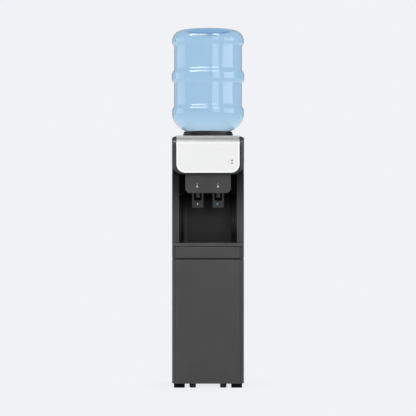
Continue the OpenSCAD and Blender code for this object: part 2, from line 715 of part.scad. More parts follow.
// Paddles: plate with a U-shaped cut-out, two arms up to the pivot, yoke under the stem's head
paddle_drop = 38;
paddle_set = 8;
paddle_shoulder = 9;
paddle_corner_r = 4;
notch_r = 8;
yoke_hole_gap = 1.2;
yoke_front = 12;
yoke_back = 22;
y_paddle = tap_y + paddle_set;
z_paddle = z_nozzle - paddle_drop;
z_notch = z_paddle + paddle_plate_h;
notch_w = paddle_w - 2 * paddle_arm_w;
module paddle(side) translate([side * tap_spacing / 2, 0, 0]) difference() {
    union() {
        along_y(y_paddle, y_paddle + paddle_t) polygon(rounded(
            [[-paddle_w / 2, z_paddle], [paddle_w / 2, z_paddle],
                [paddle_w / 2, z_nozzle + paddle_shoulder],
                [notch_w / 2, z_nozzle + paddle_shoulder], [notch_w / 2, z_notch],
                [-notch_w / 2, z_notch], [-notch_w / 2, z_nozzle + paddle_shoulder],
                [-paddle_w / 2, z_nozzle + paddle_shoulder]],
            [paddle_corner_r, paddle_corner_r, 0, 0, notch_r, notch_r, 0, 0]));
        for (s = [-1, 1]) translate([s * (paddle_w - paddle_arm_w) / 2, 0, 0]) {
            along_x(-paddle_arm_w / 2, paddle_arm_w / 2) polygon([
                [y_paddle, z_nozzle], [y_paddle + paddle_t, z_nozzle],
                [y_paddle + paddle_t, z_nozzle + paddle_shoulder], [pivot_y + hub_r, pivot_z],
                [pivot_y - hub_r, pivot_z]]);
            rod_x(pivot_y, pivot_z, -paddle_arm_w / 2, paddle_arm_w / 2, hub_r);
            block([-paddle_arm_w / 2, pivot_y, z_yoke],
                [paddle_arm_w / 2, pivot_y + yoke_back, z_yoke + yoke_t]);
        }
        block([-paddle_w / 2, pivot_y + yoke_front, z_yoke],
            [paddle_w / 2, pivot_y + yoke_back, z_yoke + yoke_t]);
    }
    rod_x(pivot_y, pivot_z, -paddle_w, paddle_w, pin_d / 2 + fit_gap);
    block([-stem_d / 2 - yoke_hole_gap, tap_y - stem_d / 2 - yoke_hole_gap, z_yoke - over],
        [stem_d / 2 + yoke_hole_gap, pivot_y + yoke_back + over, z_yoke + yoke_t + over]);
}
module left_paddle() color("#3c3c3c") paddle(-1);
module right_paddle() color("#3c3c3c") paddle(1);

// Drip tray: the lip wraps the front edges, the basin runs back into the recess
tray_wall = 2;
tray_rim = 3;
lip_t = 5;
grille_t = 3;
z_grille = z_recess - grille_t;
basin_floor_t = 2;
lip_corner_r = edge_r + panel_proud / 2;
lip_trim = 2;
basin_y = y_side + lip_trim / 2;
module drip_tray() color("#545454") difference() {
    union() {
        intersection() {
            along_z(z_lip, z_recess) difference() {
                polygon(rounded(rectangle(-half_w, half_w, y_panel, y_rear),
                    [lip_corner_r, lip_corner_r, 0, 0]));
                body_plan(-clear_gap);
            }
            block([-half_w + lip_trim, y_panel - over, z_lip - over],
                [half_w - lip_trim, y_side + edge_r / 2, z_recess + over]);
        }
        along_z(z_tray, z_recess) polygon(recess_plan(tray_gap, basin_y));
        along_z(z_lip, z_recess) polygon(recess_plan(tray_gap, y_panel + lip_t));
    }
    along_z(z_grille, z_recess + over)
        polygon(recess_plan(tray_gap + tray_wall, y_panel + lip_t + tray_wall));
    along_z(z_tray + basin_floor_t, z_grille + over)
        polygon(recess_plan(tray_gap + tray_wall + tray_rim, basin_y + tray_wall));
}

// Drip grille: slotted plate that lies on the tray's ledge
grille_margin = 10;
grille_pitch = grille_slot_w + grille_bar_w;
grille_half = opening_half - splay - tray_gap - tray_wall - grille_margin;
grille_count = floor(grille_half / grille_pitch);
module drip_grille() color("#3a3a3a") difference() {
    along_z(z_grille + clear_gap, z_recess) polygon(recess_plan(
        tray_gap + tray_wall + clear_gap, y_panel + lip_t + tray_wall + clear_gap));
    for (i = [-grille_count:grille_count])
        translate([i * grille_pitch, 0, 0])
            block([-grille_slot_w / 2, y_side + grille_margin, z_grille - over],
                [grille_slot_w / 2, y_recess_back - tray_gap - grille_margin - recess_r / 2,
                    z_recess + over]);
}

// Bottle profile, from the shoulder on the collar up to the concave base
bottle_r = bottle_d / 2;
waist_depth = 8.5;
rib_proud = 1.3;
full_r = bottle_r - rib_proud;
waist_r = bottle_r - waist_depth;
dome_lift = 88;
dome_z = z_deck + dome_lift;
dome_w = 80;
dome_h = 72;
dome_r = full_r - dome_w;
bottle_top_r = 40;
crown_h = 1;
z_bottle_ring = dome_z + bottle_body_h;
z_bottle_top = z_bottle_ring + bottle_top_r + crown_h;
foot_ring_r = 88;
foot_ring_t = 8;
punt_depth = 14;
punt_lip = 1;
neck_r = neck_d / 2;
neck_reach = 167;
neck_h = 62;
neck_flare = 6;
neck_flare_h = 10;
z_neck = dome_z - neck_reach;
z_neck_top = z_neck + neck_h;
neck_blend_r = 62;
low_rib_lift = 16;
low_rib_z = dome_z + low_rib_lift;
low_rib_h = 17;
mid_rib_lift = 126;
mid_rib_z = dome_z + mid_rib_lift;
mid_rib_h = 29;
mid_rib_lower_h = 15;
mid_rib_upper_h = 10;
top_rib_h = 15;
top_rib_set = 22;
top_rib_z = z_bottle_ring - top_rib_set;

// Radius of the dome at a height, and its height at a radius
function dome_height(r) = dome_z - dome_h * sqrt(1 - pow((r - dome_r) / dome_w, 2));
// A smooth step between two radii, over a stretch of height
function step_points(z0, z1, r0, r1) = [for (i = [0:arc_steps])
    [r0 + (r1 - r0) * (1 - cos(180 * i / arc_steps)) / 2, z0 + (z1 - z0) * i / arc_steps]];
dome_steps = 14;
dome_start_angle = 6;
top_end_angle = 84;
function bottle_outer() = concat(
    [[neck_r, z_neck], [neck_r, z_neck_top],
        [neck_r + neck_flare, z_neck_top + neck_flare_h], [neck_blend_r, dome_z - dome_h]],
    [for (i = [0:dome_steps]) let(a = dome_start_angle + (90 - dome_start_angle) * i / dome_steps)
        [dome_r + dome_w * sin(a), dome_z - dome_h * cos(a)]],
    step_points(low_rib_z, low_rib_z + low_rib_h, full_r, waist_r),
    step_points(mid_rib_z - mid_rib_lower_h, mid_rib_z, waist_r, bottle_r),
    step_points(mid_rib_z + mid_rib_h, mid_rib_z + mid_rib_h + mid_rib_upper_h,
        bottle_r, waist_r),
    step_points(top_rib_z, top_rib_z + top_rib_h, waist_r, full_r),
    [for (i = [0:dome_steps]) let(a = top_end_angle * i / dome_steps)
        [full_r - bottle_top_r + bottle_top_r * cos(a), z_bottle_ring + bottle_top_r * sin(a)]],
    [[foot_ring_r, z_bottle_top], [foot_ring_r - foot_ring_t, z_bottle_top - punt_lip],
        [foot_ring_r - 2 * foot_ring_t, z_bottle_top - punt_depth / 2],
        [foot_ring_r / 2, z_bottle_top - punt_depth]]);

// A profile moved inwards along its own normals
function inward(p, t) = [for (i = [0:len(p) - 1])
    let(d = unit_of(p[min(i + 1, len(p) - 1)] - p[max(i - 1, 0)]))
    p[i] + t * [-d.y, d.x]];

module bottle() color("#a0c5e6", 0.5) rotate_extrude() {
    outer = bottle_outer();
    inner = inward(outer, bottle_wall);
    last = len(outer) - 1;
    polygon(concat([[inner[0].x, z_neck]], outer, [[0, z_bottle_top - punt_depth],
        [0, z_bottle_top - punt_depth - bottle_wall]],
        [for (i = [last:-1:1]) inner[i]]));
}

// Bottle cap with the opening for the feed probe
cap_t = 1.5;
cap_h = 40;
cap_hole_d = 20;
module bottle_cap() color("#2d6fb3") difference() {
    post(0, 0, z_neck - cap_t, z_neck - cap_t + cap_h, neck_r + cap_t + fit_gap);
    post(0, 0, z_neck, z_neck + cap_h, neck_r + fit_gap);
    post(0, 0, z_neck - cap_t - over, z_neck + over, cap_hole_d / 2);
}

// Collar: two-tier ring under the bottle's dome, with the funnel down to the reservoir
collar_r = collar_d / 2;
well_r = 80;
collar_tier_h = 11;
collar_tier_in = 2.5;
edge_bevel = 1;
seat_inner_r = 72;
funnel_r = 40;
funnel_drop = 30;
collar_top_r = collar_r - collar_tier_in;
z_collar = z_deck + collar_h;
lid_drop = 6;
z_lid = z_neck - lid_drop;
lid_t = 6;
z_tank_top = z_lid - lid_t;
seat_gap = 0.5;
function seat_z(r) = min(dome_height(r) - seat_gap, z_collar);
seat_points = [for (i = [0:3]) let(r = collar_top_r - (collar_top_r - seat_inner_r) * i / 3)
    [r, seat_z(r)]];
module bottle_collar() color("#2e2e2e") rotate_extrude() polygon(concat(
    [[collar_r, z_deck], [collar_r, z_deck + collar_tier_h - edge_bevel],
        [collar_r - edge_bevel, z_deck + collar_tier_h],
        [collar_top_r, z_deck + collar_tier_h]],
    seat_points,
    [[seat_inner_r, seat_z(seat_inner_r) - wall_t],
        [well_r - wall_t, seat_z(seat_inner_r) - wall_t], [well_r - wall_t, z_deck - funnel_drop],
        [funnel_r, z_lid + wall_t], [funnel_r - wall_t * 2, z_lid + wall_t],
        [funnel_r - wall_t * 2, z_lid], [funnel_r + edge_bevel, z_lid],
        [well_r, z_deck - funnel_drop], [well_r, z_deck]]));

// Feed probe: hollow spike that opens the cap and lets the water down
probe_d = 16;
probe_bore_d = 9;
probe_flange_d = 44;
probe_flange_t = 2.5;
probe_reach = 38;
probe_tip_h = 8;
port_w = 5;
port_h = 10;
module feed_probe() color("gainsboro") difference() {
    rotate_extrude() polygon([[probe_bore_d / 2, z_tank_top - over], [probe_d / 2, z_tank_top - over],
        [probe_d / 2, z_lid], [probe_flange_d / 2, z_lid],
        [probe_flange_d / 2, z_lid + probe_flange_t], [probe_d / 2, z_lid + probe_flange_t],
        [probe_d / 2, z_neck + probe_reach - probe_tip_h], [probe_bore_d / 3, z_neck + probe_reach],
        [0, z_neck + probe_reach], [0, z_neck + probe_reach - probe_tip_h],
        [probe_bore_d / 2, z_neck + probe_reach - probe_tip_h]]);
    block([-probe_d, -port_w / 2, z_neck + probe_reach - probe_tip_h - port_h],
        [probe_d, port_w / 2, z_neck + probe_reach - probe_tip_h - over]);
}

// Reservoir: stainless pot with spigots for the taps and the drain
tank_t = 1;
tank_r = tank_d / 2;
tank_lift = 5.5;
tank_rim = 3;
z_tank = z_step + liner_t + tank_lift;
spigot_d = 8;
drain_z = tap_inlet_z;
spigot_gap = 2;
y_spigot = y_tail + spigot_gap;
drain_spigot_reach = 8;
module reservoir() color("#c9ccd0") difference() {
    union() {
        post(0, 0, z_tank, z_tank_top, tank_r);
        post(0, 0, z_tank_top - tank_t, z_tank_top, tank_r + tank_rim);
        for (s = [-1, 1]) rod_y(s * tap_spacing / 2, tap_inlet_z, y_spigot, 0, spigot_d / 2);
        rod_y(drain_x, drain_z, 0, tank_r + drain_spigot_reach, spigot_d / 2);
    }
    post(0, 0, z_tank + tank_t, z_tank_top + over, tank_r - tank_t);
    for (s = [-1, 1])
        rod_y(s * tap_spacing / 2, tap_inlet_z, y_spigot - over, 0, spigot_d / 2 - tank_t);
    rod_y(drain_x, drain_z, 0, tank_r + drain_spigot_reach + over, spigot_d / 2 - tank_t);
}
lid_r = tank_r + tank_rim + least_r;
module reservoir_lid() color("whitesmoke") difference() {
    union() {
        post(0, 0, z_tank_top, z_lid, lid_r);
        post(0, 0, z_tank_top - lid_t, z_tank_top, tank_r - tank_t - clear_gap);
    }
    post(0, 0, z_tank_top - lid_t - over, z_tank_top, tank_r - tank_t - lid_t);
    post(0, 0, z_tank_top - over, z_lid + over, probe_d / 2 + fit_gap);
}

// Baffle with the standpipe that feeds the ambient tap
baffle_t = 2;
baffle_drop = 38;
standpipe_d = 9;
standpipe_y = -20;
standpipe_t = 1.5;
z_baffle = z_tank_top - baffle_drop;
module baffle() color("white") difference() {
    union() {
        post(0, 0, z_baffle, z_baffle + baffle_t, tank_r - tank_t - clear_gap);
        post(-tap_spacing / 2, standpipe_y, z_tank + tank_t, z_baffle + baffle_t * 2,
            standpipe_d / 2);
        for (s = [-1, 1]) post(s * standpipe_d * 2, -standpipe_y, z_tank + tank_t, z_baffle,
            standpipe_d / 4);
    }
    post(-tap_spacing / 2, standpipe_y, z_tank + tank_t + wall_t, z_baffle + baffle_t * 2 + over,
        standpipe_d / 2 - standpipe_t);
    for (a = [0:60:300]) rotate([0, 0, a]) post(tank_r / 2, 0, z_baffle - over,
        z_baffle + baffle_t + over, standpipe_d / 4);
}

// Insulation round the reservoir and its coil
evaporator_tube_d = 6.4;
evaporator_rings = 20;
evaporator_r = (tank_r + evaporator_tube_d / 2 + clear_gap) / cos(180 / evaporator_rings);
insulation_t = 16;
insulation_in_r = evaporator_r + evaporator_tube_d / 2 + edge_bevel;
insulation_r = insulation_in_r + insulation_t;
evaporator_lift = 11;
lead_y = 16;
lead_r = 12;
evaporator_z = drain_z + evaporator_lift;
evaporator_pitch = 9;
evaporator_top = evaporator_z + evaporator_turns * evaporator_pitch;
line_slot_w = 9;
z_foam = z_step + liner_t;
foam_gap = 3;
y_foam = y_chassis + liner_t + nut_t + foam_gap;
module tank_insulation() color("white") difference() {
    intersection() {
        post(0, 0, z_foam, z_tank_top - tank_t - clear_gap, insulation_r);
        block([-insulation_r, y_foam, z_foam], [insulation_r, insulation_r, z_top]);
    }
    post(0, 0, z_tank - clear_gap / 2, evaporator_z - evaporator_tube_d, tank_r + clear_gap);
    post(0, 0, evaporator_z - evaporator_tube_d - over, z_top, insulation_in_r);
    for (s = [-1, 1]) rod_y(s * tap_spacing / 2, tap_inlet_z, y_foam - over, 0,
        hose_d / 2 + clear_gap);
    rod_y(drain_x, drain_z, 0, insulation_r + over, hose_d / 2 + clear_gap);
    block([tank_r, -lead_y - line_slot_w / 2, evaporator_z - line_slot_w],
        [insulation_r + over, lead_y + line_slot_w / 2, z_top]);
    rod_y(bulb_x, bulb_z, 0, insulation_r, bulb_d / 2 + clear_gap);
}

// Evaporator: copper coil soldered round the reservoir
tube_sides = 8;
module evaporator() color("#b87333") swept(concat(
    routed([[insulation_r, -lead_y, evaporator_z], [evaporator_r, -lead_y, evaporator_z],
        [evaporator_r, -lead_r / arc_steps, evaporator_z]], lead_r),
    coil_route(0, 0, evaporator_z, evaporator_top, evaporator_r, evaporator_turns,
        evaporator_rings),
    routed([[evaporator_r, lead_r / arc_steps, evaporator_top],
        [evaporator_r, lead_y, evaporator_top], [insulation_r, lead_y, evaporator_top]], lead_r)),
    evaporator_tube_d / 2, spring_sides, [0, 0, 1]);

// Hoses from the reservoir to the taps and to the drain
hose_gap = 0.1;
drain_tail = 14;
drain_tail_y = y_rear - drain_tail;
module hose(x, z, y0, y1) difference() {
    rod_y(x, z, y0, y1, hose_d / 2);
    rod_y(x, z, y0 - over, y1 + over, spigot_d / 2 + hose_gap);
}
module water_hoses() color("#d8dde0") {
    for (s = [-1, 1]) hose(s * tap_spacing / 2, tap_inlet_z, y_tail - tail_reach + clear_gap,
        -sqrt(pow(tank_r + hose_gap, 2) - pow(tap_spacing / 2 - hose_d / 2, 2)) - clear_gap);
    hose(drain_x, drain_z, tank_r + clear_gap, drain_tail_y + tail_reach);
}

// Drain spout through the upper rear panel, and its cap
spout_flange_d = 20;
spout_flange_t = 2;
spout_reach = 10;
drain_cap_d = 20;
drain_cap_t = 3;
drain_cap_h = 13;
module drain_spout() color("whitesmoke") difference() {
    union() {
        rod_y(drain_x, drain_z, y_side_rear - spout_flange_t, y_rear + spout_reach, spout_d / 2);
        rod_y(drain_x, drain_z, y_side_rear - spout_flange_t, y_side_rear, spout_flange_d / 2);
        rod_y(drain_x, drain_z, drain_tail_y, y_side_rear, spigot_d / 2);
    }
    rod_y(drain_x, drain_z, drain_tail_y - over, y_rear + spout_reach + over,
        spigot_d / 2 - tank_t);
}
module drain_cap() color("#2b2b2b") difference() {
    rod_y(drain_x, drain_z, y_rear + clear_gap, y_rear + clear_gap + drain_cap_h, drain_cap_d / 2);
    rod_y(drain_x, drain_z, y_rear - over, y_rear + clear_gap + drain_cap_h - drain_cap_t,
        spout_d / 2 + fit_gap);
}

// Compressor on its rubber grommets
compressor_r = compressor_d / 2;
plate_t = 2.5;
plate_edge = 14;
z_plate = z_floor + grommet_h;
shell_round = 34;
stub_d = 8;
stub_h = 20;
stub_x = 30;
stub_set = 20;
stub_places = [[-stub_x, stub_set], [stub_x, stub_set]];
module compressor() color("#1d1d1d") {
    translate([0, compressor_y, 0]) rotate_extrude() polygon(rounded(
        rectangle(0, compressor_r, z_plate, z_plate + compressor_h),
        [0, shell_round / 2, shell_round, 0]));
    difference() {
        along_z(z_plate, z_plate + plate_t) polygon(rounded(
            rectangle(-compressor_bolt_x - plate_edge, compressor_bolt_x + plate_edge,
                compressor_y - compressor_bolt_y - plate_edge,
                compressor_y + compressor_bolt_y + plate_edge),
            [plate_edge, plate_edge, plate_edge, plate_edge]));
        for (p = compressor_places()) post(p.x, p.y, z_plate - over,
            z_plate + plate_t + over, compressor_bolt_d / 2 + fit_gap);
    }
    for (p = stub_places) post(p.x, compressor_y + p.y, z_plate + compressor_h - shell_round,
        z_plate + compressor_h + stub_h, stub_d / 2);
}
module compressor_grommets() color("#111111") for (p = compressor_places()) difference() {
    post(p.x, p.y, z_floor, z_plate, grommet_d / 2);
    post(p.x, p.y, z_floor - over, z_plate + over, compressor_bolt_d / 2 + fit_gap);
}
bolt_head_d = 12;
bolt_head_h = 5;
module compressor_bolts() color("silver") for (p = compressor_places()) {
    post(p.x, p.y, z_base, z_plate + plate_t, compressor_bolt_d / 2);
    translate([p.x, p.y, z_plate + plate_t])
        cylinder(h = bolt_head_h, d = bolt_head_d, $fn = 6);
}

// Start relay box clipped to the compressor's side
relay_w = 30;
relay_d = 44;
relay_h = 54;
relay_lift = 28;
module start_relay() color("#e8e4d8") difference() {
    block([compressor_r - relay_w / 3, compressor_y - relay_d / 2, z_plate + relay_lift],
        [compressor_r + relay_w * 2 / 3, compressor_y + relay_d / 2,
            z_plate + relay_lift + relay_h]);
    post(0, compressor_y, z_plate, z_plate + compressor_h, compressor_r + clear_gap);
}

// Condenser: one serpentine tube between two rows of wires
wire_pitch = 9;
wire_count = floor(condenser_w / 2 / wire_pitch);
bend_r = condenser_pitch / 2;
wire_over = 10;
module bend(side, z) translate([side * condenser_w / 2, condenser_y, z]) rotate([90, 0, 0])
    rotate([0, 0, side > 0 ? -90 : 90]) rotate_extrude(angle = 180)
        translate([bend_r, 0]) circle(condenser_tube_d / 2);
module condenser() color("#202020") {
    for (i = [0:condenser_runs - 1])
        rod_x(condenser_y, condenser_z + i * condenser_pitch, -condenser_w / 2,
            condenser_w / 2, condenser_tube_d / 2);
    for (i = [0:condenser_runs - 2])
        bend(i % 2 == 0 ? 1 : -1, condenser_z + (i + 0.5) * condenser_pitch);
    for (s = [-1, 1], i = [-wire_count:wire_count])
        post(i * wire_pitch, condenser_y + s * wire_offset, condenser_z - wire_over,
            condenser_top + wire_over, wire_d / 2);
}

// Brackets that hold the condenser off the rear panels
bracket_h = 16;
bracket_half = wire_pitch / 2 - wire_d / 2 - clear_gap;
bracket_x = (wire_count - 0.5) * wire_pitch;
bracket_runs = [1, condenser_runs - 3];
module condenser_brackets() color("#2b2b2b") for (s = [-1, 1], i = bracket_runs) difference() {
    translate([s * bracket_x, 0, condenser_z + i * condenser_pitch])
        block([-bracket_half, y_rear, -bracket_h / 2],
            [bracket_half, condenser_y + condenser_tube_d / 2, bracket_h / 2]);
    rod_x(condenser_y, condenser_z + i * condenser_pitch, -condenser_w, condenser_w,
        condenser_tube_d / 2 + clear_gap);
}

// Filter drier between the condenser and the capillary
drier_d = 20;
drier_h = 70;
drier_set = 26;
drier_drop = 20;
drier_y = y_side_rear - drier_set;
drier_z = condenser_top - drier_drop - drier_h;
suction_d = 6.4;
suction_set = 8;
suction_x = insulation_r + suction_set;
suction_y = -lead_y;
capillary_d = 3;
module filter_drier() color("#b87333") translate([-line_x, drier_y, drier_z]) rotate_extrude()
    polygon([[0, 0], [suction_d / 2, 0], [drier_d / 2, drier_d / 2],
        [drier_d / 2, drier_h - drier_d / 2], [suction_d / 2, drier_h], [0, drier_h]]);

// Refrigerant lines: discharge, liquid, capillary and suction, each one tube
line_bend_r = 8;
line_drop = 40;
capillary_x = -line_x - (drier_d + capillary_d) / 2 - 2 * clear_gap;
capillary_level = 20;
line_ref = [1, 2, 0.5];
module refrigerant_lines() color("#b87333") {
    stub_z = z_plate + compressor_h + stub_h;
    stub_y = compressor_y + stub_places[0].y;
    capillary_z = evaporator_top - capillary_level;
    swept(routed([[stub_places[0].x, stub_y, stub_z],
        [stub_places[0].x, stub_y, stub_z + 2 * line_bend_r],
        [-line_x, stub_y, stub_z + line_drop / 2], [-line_x, drier_y, condenser_z],
        [-line_x, condenser_y, condenser_z], [-condenser_w / 2, condenser_y, condenser_z]],
        line_bend_r), condenser_tube_d / 2, tube_sides, line_ref);
    swept(routed([[-condenser_w / 2, condenser_y, condenser_top],
        [-line_x, condenser_y, condenser_top], [-line_x, drier_y, condenser_top],
        [-line_x, drier_y, drier_z + drier_h]], line_bend_r),
        condenser_tube_d / 2, tube_sides, line_ref);
    swept(routed([[-line_x, drier_y, drier_z], [-line_x, drier_y, drier_z - 2 * line_bend_r],
        [capillary_x, drier_y, drier_z - 2 * line_bend_r],
        [capillary_x, drier_y, capillary_z], [suction_x, drier_y, capillary_z],
        [suction_x, lead_y, evaporator_top], [insulation_r, lead_y, evaporator_top]],
        line_bend_r / 2), capillary_d / 2, spring_sides, line_ref);
    swept(routed([[insulation_r, suction_y, evaporator_z],
        [suction_x, suction_y, evaporator_z], [suction_x, suction_y, stub_z + 2 * line_drop],
        [stub_places[1].x, stub_y, stub_z + line_drop], [stub_places[1].x, stub_y, stub_z]],
        line_bend_r), suction_d / 2, tube_sides, line_ref);
}

// Thermostat with its sensing bulb, and its knob at the back
thermostat_w = 40;
thermostat_h = 32;
thermostat_d = 30;
bulb_d = 4;
bulb_x = knob_x - thermostat_w / 2 + bulb_d;
bulb_z = knob_z + thermostat_h / 4;
bulb_y = sqrt(pow(evaporator_r + evaporator_tube_d / 2, 2) - pow(bulb_x - bulb_d / 2, 2))
    + least_r;
knob_d = 28;
knob_h = 14;
knob_grip_t = 5;
module thermostat() color("gainsboro") difference() {
    union() {
        block([knob_x - thermostat_w / 2, y_side_rear - thermostat_d, knob_z - thermostat_h / 2],
            [knob_x + thermostat_w / 2, y_side_rear, knob_z + thermostat_h / 2]);
        rod_y(bulb_x, bulb_z, bulb_y, y_side_rear - thermostat_d, bulb_d / 2);
    }
    rod_y(knob_x, knob_z, y_side_rear - thermostat_d / 2, y_side_rear + over,
        knob_shaft_d / 2 + fit_gap);
}
module thermostat_knob() color("#202020") difference() {
    union() {
        rod_y(knob_x, knob_z, y_rear + clear_gap, y_rear + clear_gap + knob_h / 2, knob_d / 2);
        block([knob_x - knob_grip_t / 2, y_rear + clear_gap, knob_z - knob_d / 2 + edge_bevel],
            [knob_x + knob_grip_t / 2, y_rear + knob_h, knob_z + knob_d / 2 - edge_bevel]);
        rod_y(knob_x, knob_z, y_side_rear - thermostat_d / 2 + clear_gap, y_rear + over,
            knob_shaft_d / 2);
    }
}

// Mains inlet with three blades below and the rocker switch above
inlet_rim = 3;
inlet_rim_t = 2;
inlet_depth = 22;
socket_w = 23;
socket_h = 16;
socket_depth = 17;
socket_drop = 11;
socket_z = inlet_z - socket_drop;
blade_w = 2;
blade_h = 4;
blade_reach = 11;
blade_spread = 7;
rocker_w = 19;
rocker_h = 13;
rocker_lift = 13;
rocker_z = inlet_z + rocker_lift;
rocker_y = y_rear;
rocker_gap = 0.5;
rocker_tilt = 7;
rocker_depth = 5;
rocker_rise = 3.4;
rocker_dip = 1.8;
rocker_pin_d = 2.4;
rocker_pin_reach = 1.5;
module power_inlet() color("#161616") {
    y_face = y_rear + inlet_rim_t;
    difference() {
        union() {
            block([inlet_x - inlet_w / 2 + clear_gap, y_face - inlet_depth,
                inlet_z - inlet_h / 2 + clear_gap], [inlet_x + inlet_w / 2 - clear_gap, y_face,
                inlet_z + inlet_h / 2 - clear_gap]);
            block([inlet_x - inlet_w / 2 - inlet_rim, y_rear, inlet_z - inlet_h / 2 - inlet_rim],
                [inlet_x + inlet_w / 2 + inlet_rim, y_face, inlet_z + inlet_h / 2 + inlet_rim]);
        }
        block([inlet_x - socket_w / 2, y_face - socket_depth, socket_z - socket_h / 2],
            [inlet_x + socket_w / 2, y_face + over, socket_z + socket_h / 2]);
        block([inlet_x - rocker_w / 2 - rocker_gap, y_face - socket_depth,
            rocker_z - rocker_h / 2 - rocker_gap], [inlet_x + rocker_w / 2 + rocker_gap,
            y_face + over, rocker_z + rocker_h / 2 + rocker_gap]);
        rod_x(rocker_y, rocker_z, inlet_x - rocker_w / 2 - rocker_pin_reach - clear_gap,
            inlet_x + rocker_w / 2 + rocker_pin_reach + clear_gap, rocker_pin_d / 2 + fit_gap);
    }
    for (p = [[-blade_spread, 0], [0, socket_h / 2 - blade_h], [blade_spread, 0]])
        translate([inlet_x + p.x, y_face - socket_depth, socket_z + p.y - blade_h / 2])
            block([-blade_w / 2, -over, 0], [blade_w / 2, blade_reach, blade_h]);
}
module power_switch() color("#b5221f") translate([inlet_x, rocker_y, rocker_z])
    rotate([-rocker_tilt, 0, 0]) {
        along_x(-rocker_w / 2, rocker_w / 2) polygon([
            [-rocker_depth, -rocker_h / 2 + edge_bevel], [rocker_rise, -rocker_h / 2 + rocker_gap],
            [rocker_dip, 0], [rocker_rise, rocker_h / 2 - rocker_gap],
            [-rocker_depth, rocker_h / 2 - edge_bevel]]);
        rod_x(0, 0, -rocker_w / 2 - rocker_pin_reach, rocker_w / 2 + rocker_pin_reach,
            rocker_pin_d / 2);
    }

base_plate();
foot_pads();
left_levelling_foot();
right_levelling_foot();
left_lower_side();
right_lower_side();
lower_front_panel();
lower_rear_panel();
mid_frame();
left_upper_side();
right_upper_side();
upper_rear_panel();
mid_front_panel();
recess_liner();
tank_shelf();
head_shell();
top_cover();
fascia();
tap_panel();
bottle_collar();
feed_probe();
drip_tray();
drip_grille();
bottle();
bottle_cap();
reservoir();
reservoir_lid();
baffle();
tank_insulation();
evaporator();
water_hoses();
drain_spout();
drain_cap();
left_tap_body();
right_tap_body();
tap_bonnets();
left_valve_stem();
right_valve_stem();
left_valve_spring();
right_valve_spring();
left_paddle();
right_paddle();
paddle_pins();
tap_nuts();
compressor();
compressor_grommets();
compressor_bolts();
start_relay();
condenser();
condenser_brackets();
filter_drier();
refrigerant_lines();
thermostat();
thermostat_knob();
power_inlet();
power_switch();
indicator_board();
power_lens();
cooling_lens();
panel_screws();
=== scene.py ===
"""Slim bottled water cooler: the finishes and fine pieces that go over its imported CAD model.

The floor is z = 0 and the front faces -Y. Sizes in the classes are millimetres, as on the maker's
drawings. Meshes are metres, as the model is.
"""

import json
import logging
import math
from collections.abc import Iterable, Sequence
from dataclasses import dataclass
from enum import Enum
from functools import partial

import bmesh
import bpy
from mathutils import Matrix, Vector

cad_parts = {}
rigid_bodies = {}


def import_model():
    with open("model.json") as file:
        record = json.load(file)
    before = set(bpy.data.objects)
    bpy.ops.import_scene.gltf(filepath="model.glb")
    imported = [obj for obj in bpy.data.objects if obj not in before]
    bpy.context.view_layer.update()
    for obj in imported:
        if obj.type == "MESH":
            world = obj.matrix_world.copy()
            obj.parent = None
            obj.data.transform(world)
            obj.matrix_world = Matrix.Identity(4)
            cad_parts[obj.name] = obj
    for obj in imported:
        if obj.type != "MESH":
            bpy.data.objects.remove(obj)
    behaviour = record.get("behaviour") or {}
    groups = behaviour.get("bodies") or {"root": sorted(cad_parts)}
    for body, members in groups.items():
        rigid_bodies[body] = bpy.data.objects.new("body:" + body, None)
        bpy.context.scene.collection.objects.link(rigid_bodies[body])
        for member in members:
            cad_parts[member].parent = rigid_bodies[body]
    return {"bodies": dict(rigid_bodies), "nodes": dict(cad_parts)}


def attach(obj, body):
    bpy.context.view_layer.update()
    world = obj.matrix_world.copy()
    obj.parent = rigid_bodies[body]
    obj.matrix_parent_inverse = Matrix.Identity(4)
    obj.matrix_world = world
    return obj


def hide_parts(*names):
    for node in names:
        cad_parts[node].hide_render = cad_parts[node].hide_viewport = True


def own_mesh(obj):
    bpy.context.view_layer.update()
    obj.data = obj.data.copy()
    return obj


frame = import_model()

MM = 0.001
PHOTO_PIXELS = 416
FILM = 0.08  # Thickness of printed ink, in millimetres
log = logging.getLogger("water_cooler")

Point = tuple[float, float]
Sockets = dict[str | int, object]


def linear(colour: str) -> tuple[float, float, float, float]:
    """Turns an sRGB hex colour into linear light.

    Args:
        colour: The colour as "#rrggbb".

    Returns:
        Linear red, green and blue, with an alpha of 1.
    """
    parts = [int(colour[i:i + 2], 16) / 255 for i in (1, 3, 5)]
    r, g, b = [c / 12.92 if c <= 0.04045 else ((c + 0.055) / 1.055) ** 2.4 for c in parts]
    return r, g, b, 1.0


def per_mm(size: float) -> float:
    """Returns the texture scale at which a feature is size millimetres across."""
    return 1 / (size * MM)


def fill(tree: bpy.types.NodeTree, node: bpy.types.Node, inputs: Sockets) -> None:
    """Sets or links a node's inputs.

    Args:
        tree: The tree that the node is in.
        node: The node.
        inputs: Input name or number to a value, or to the output that feeds it.
    """
    for key, value in inputs.items():
        if isinstance(value, bpy.types.NodeSocket):
            tree.links.new(value, node.inputs[key])
        else:
            node.inputs[key].default_value = value


def add_node(tree: bpy.types.NodeTree, kind: str, inputs: Sockets | None = None,
             **settings: object) -> bpy.types.Node:
    """Adds a node with its settings and links.

    Args:
        tree: The tree to add it to.
        kind: The node's type.
        inputs: What its inputs hold, as fill() takes them.
        **settings: The node's own properties.

    Returns:
        The new node.
    """
    node = tree.nodes.new(kind)
    for name, value in settings.items():
        setattr(node, name, value)
    fill(tree, node, inputs or {})
    return node


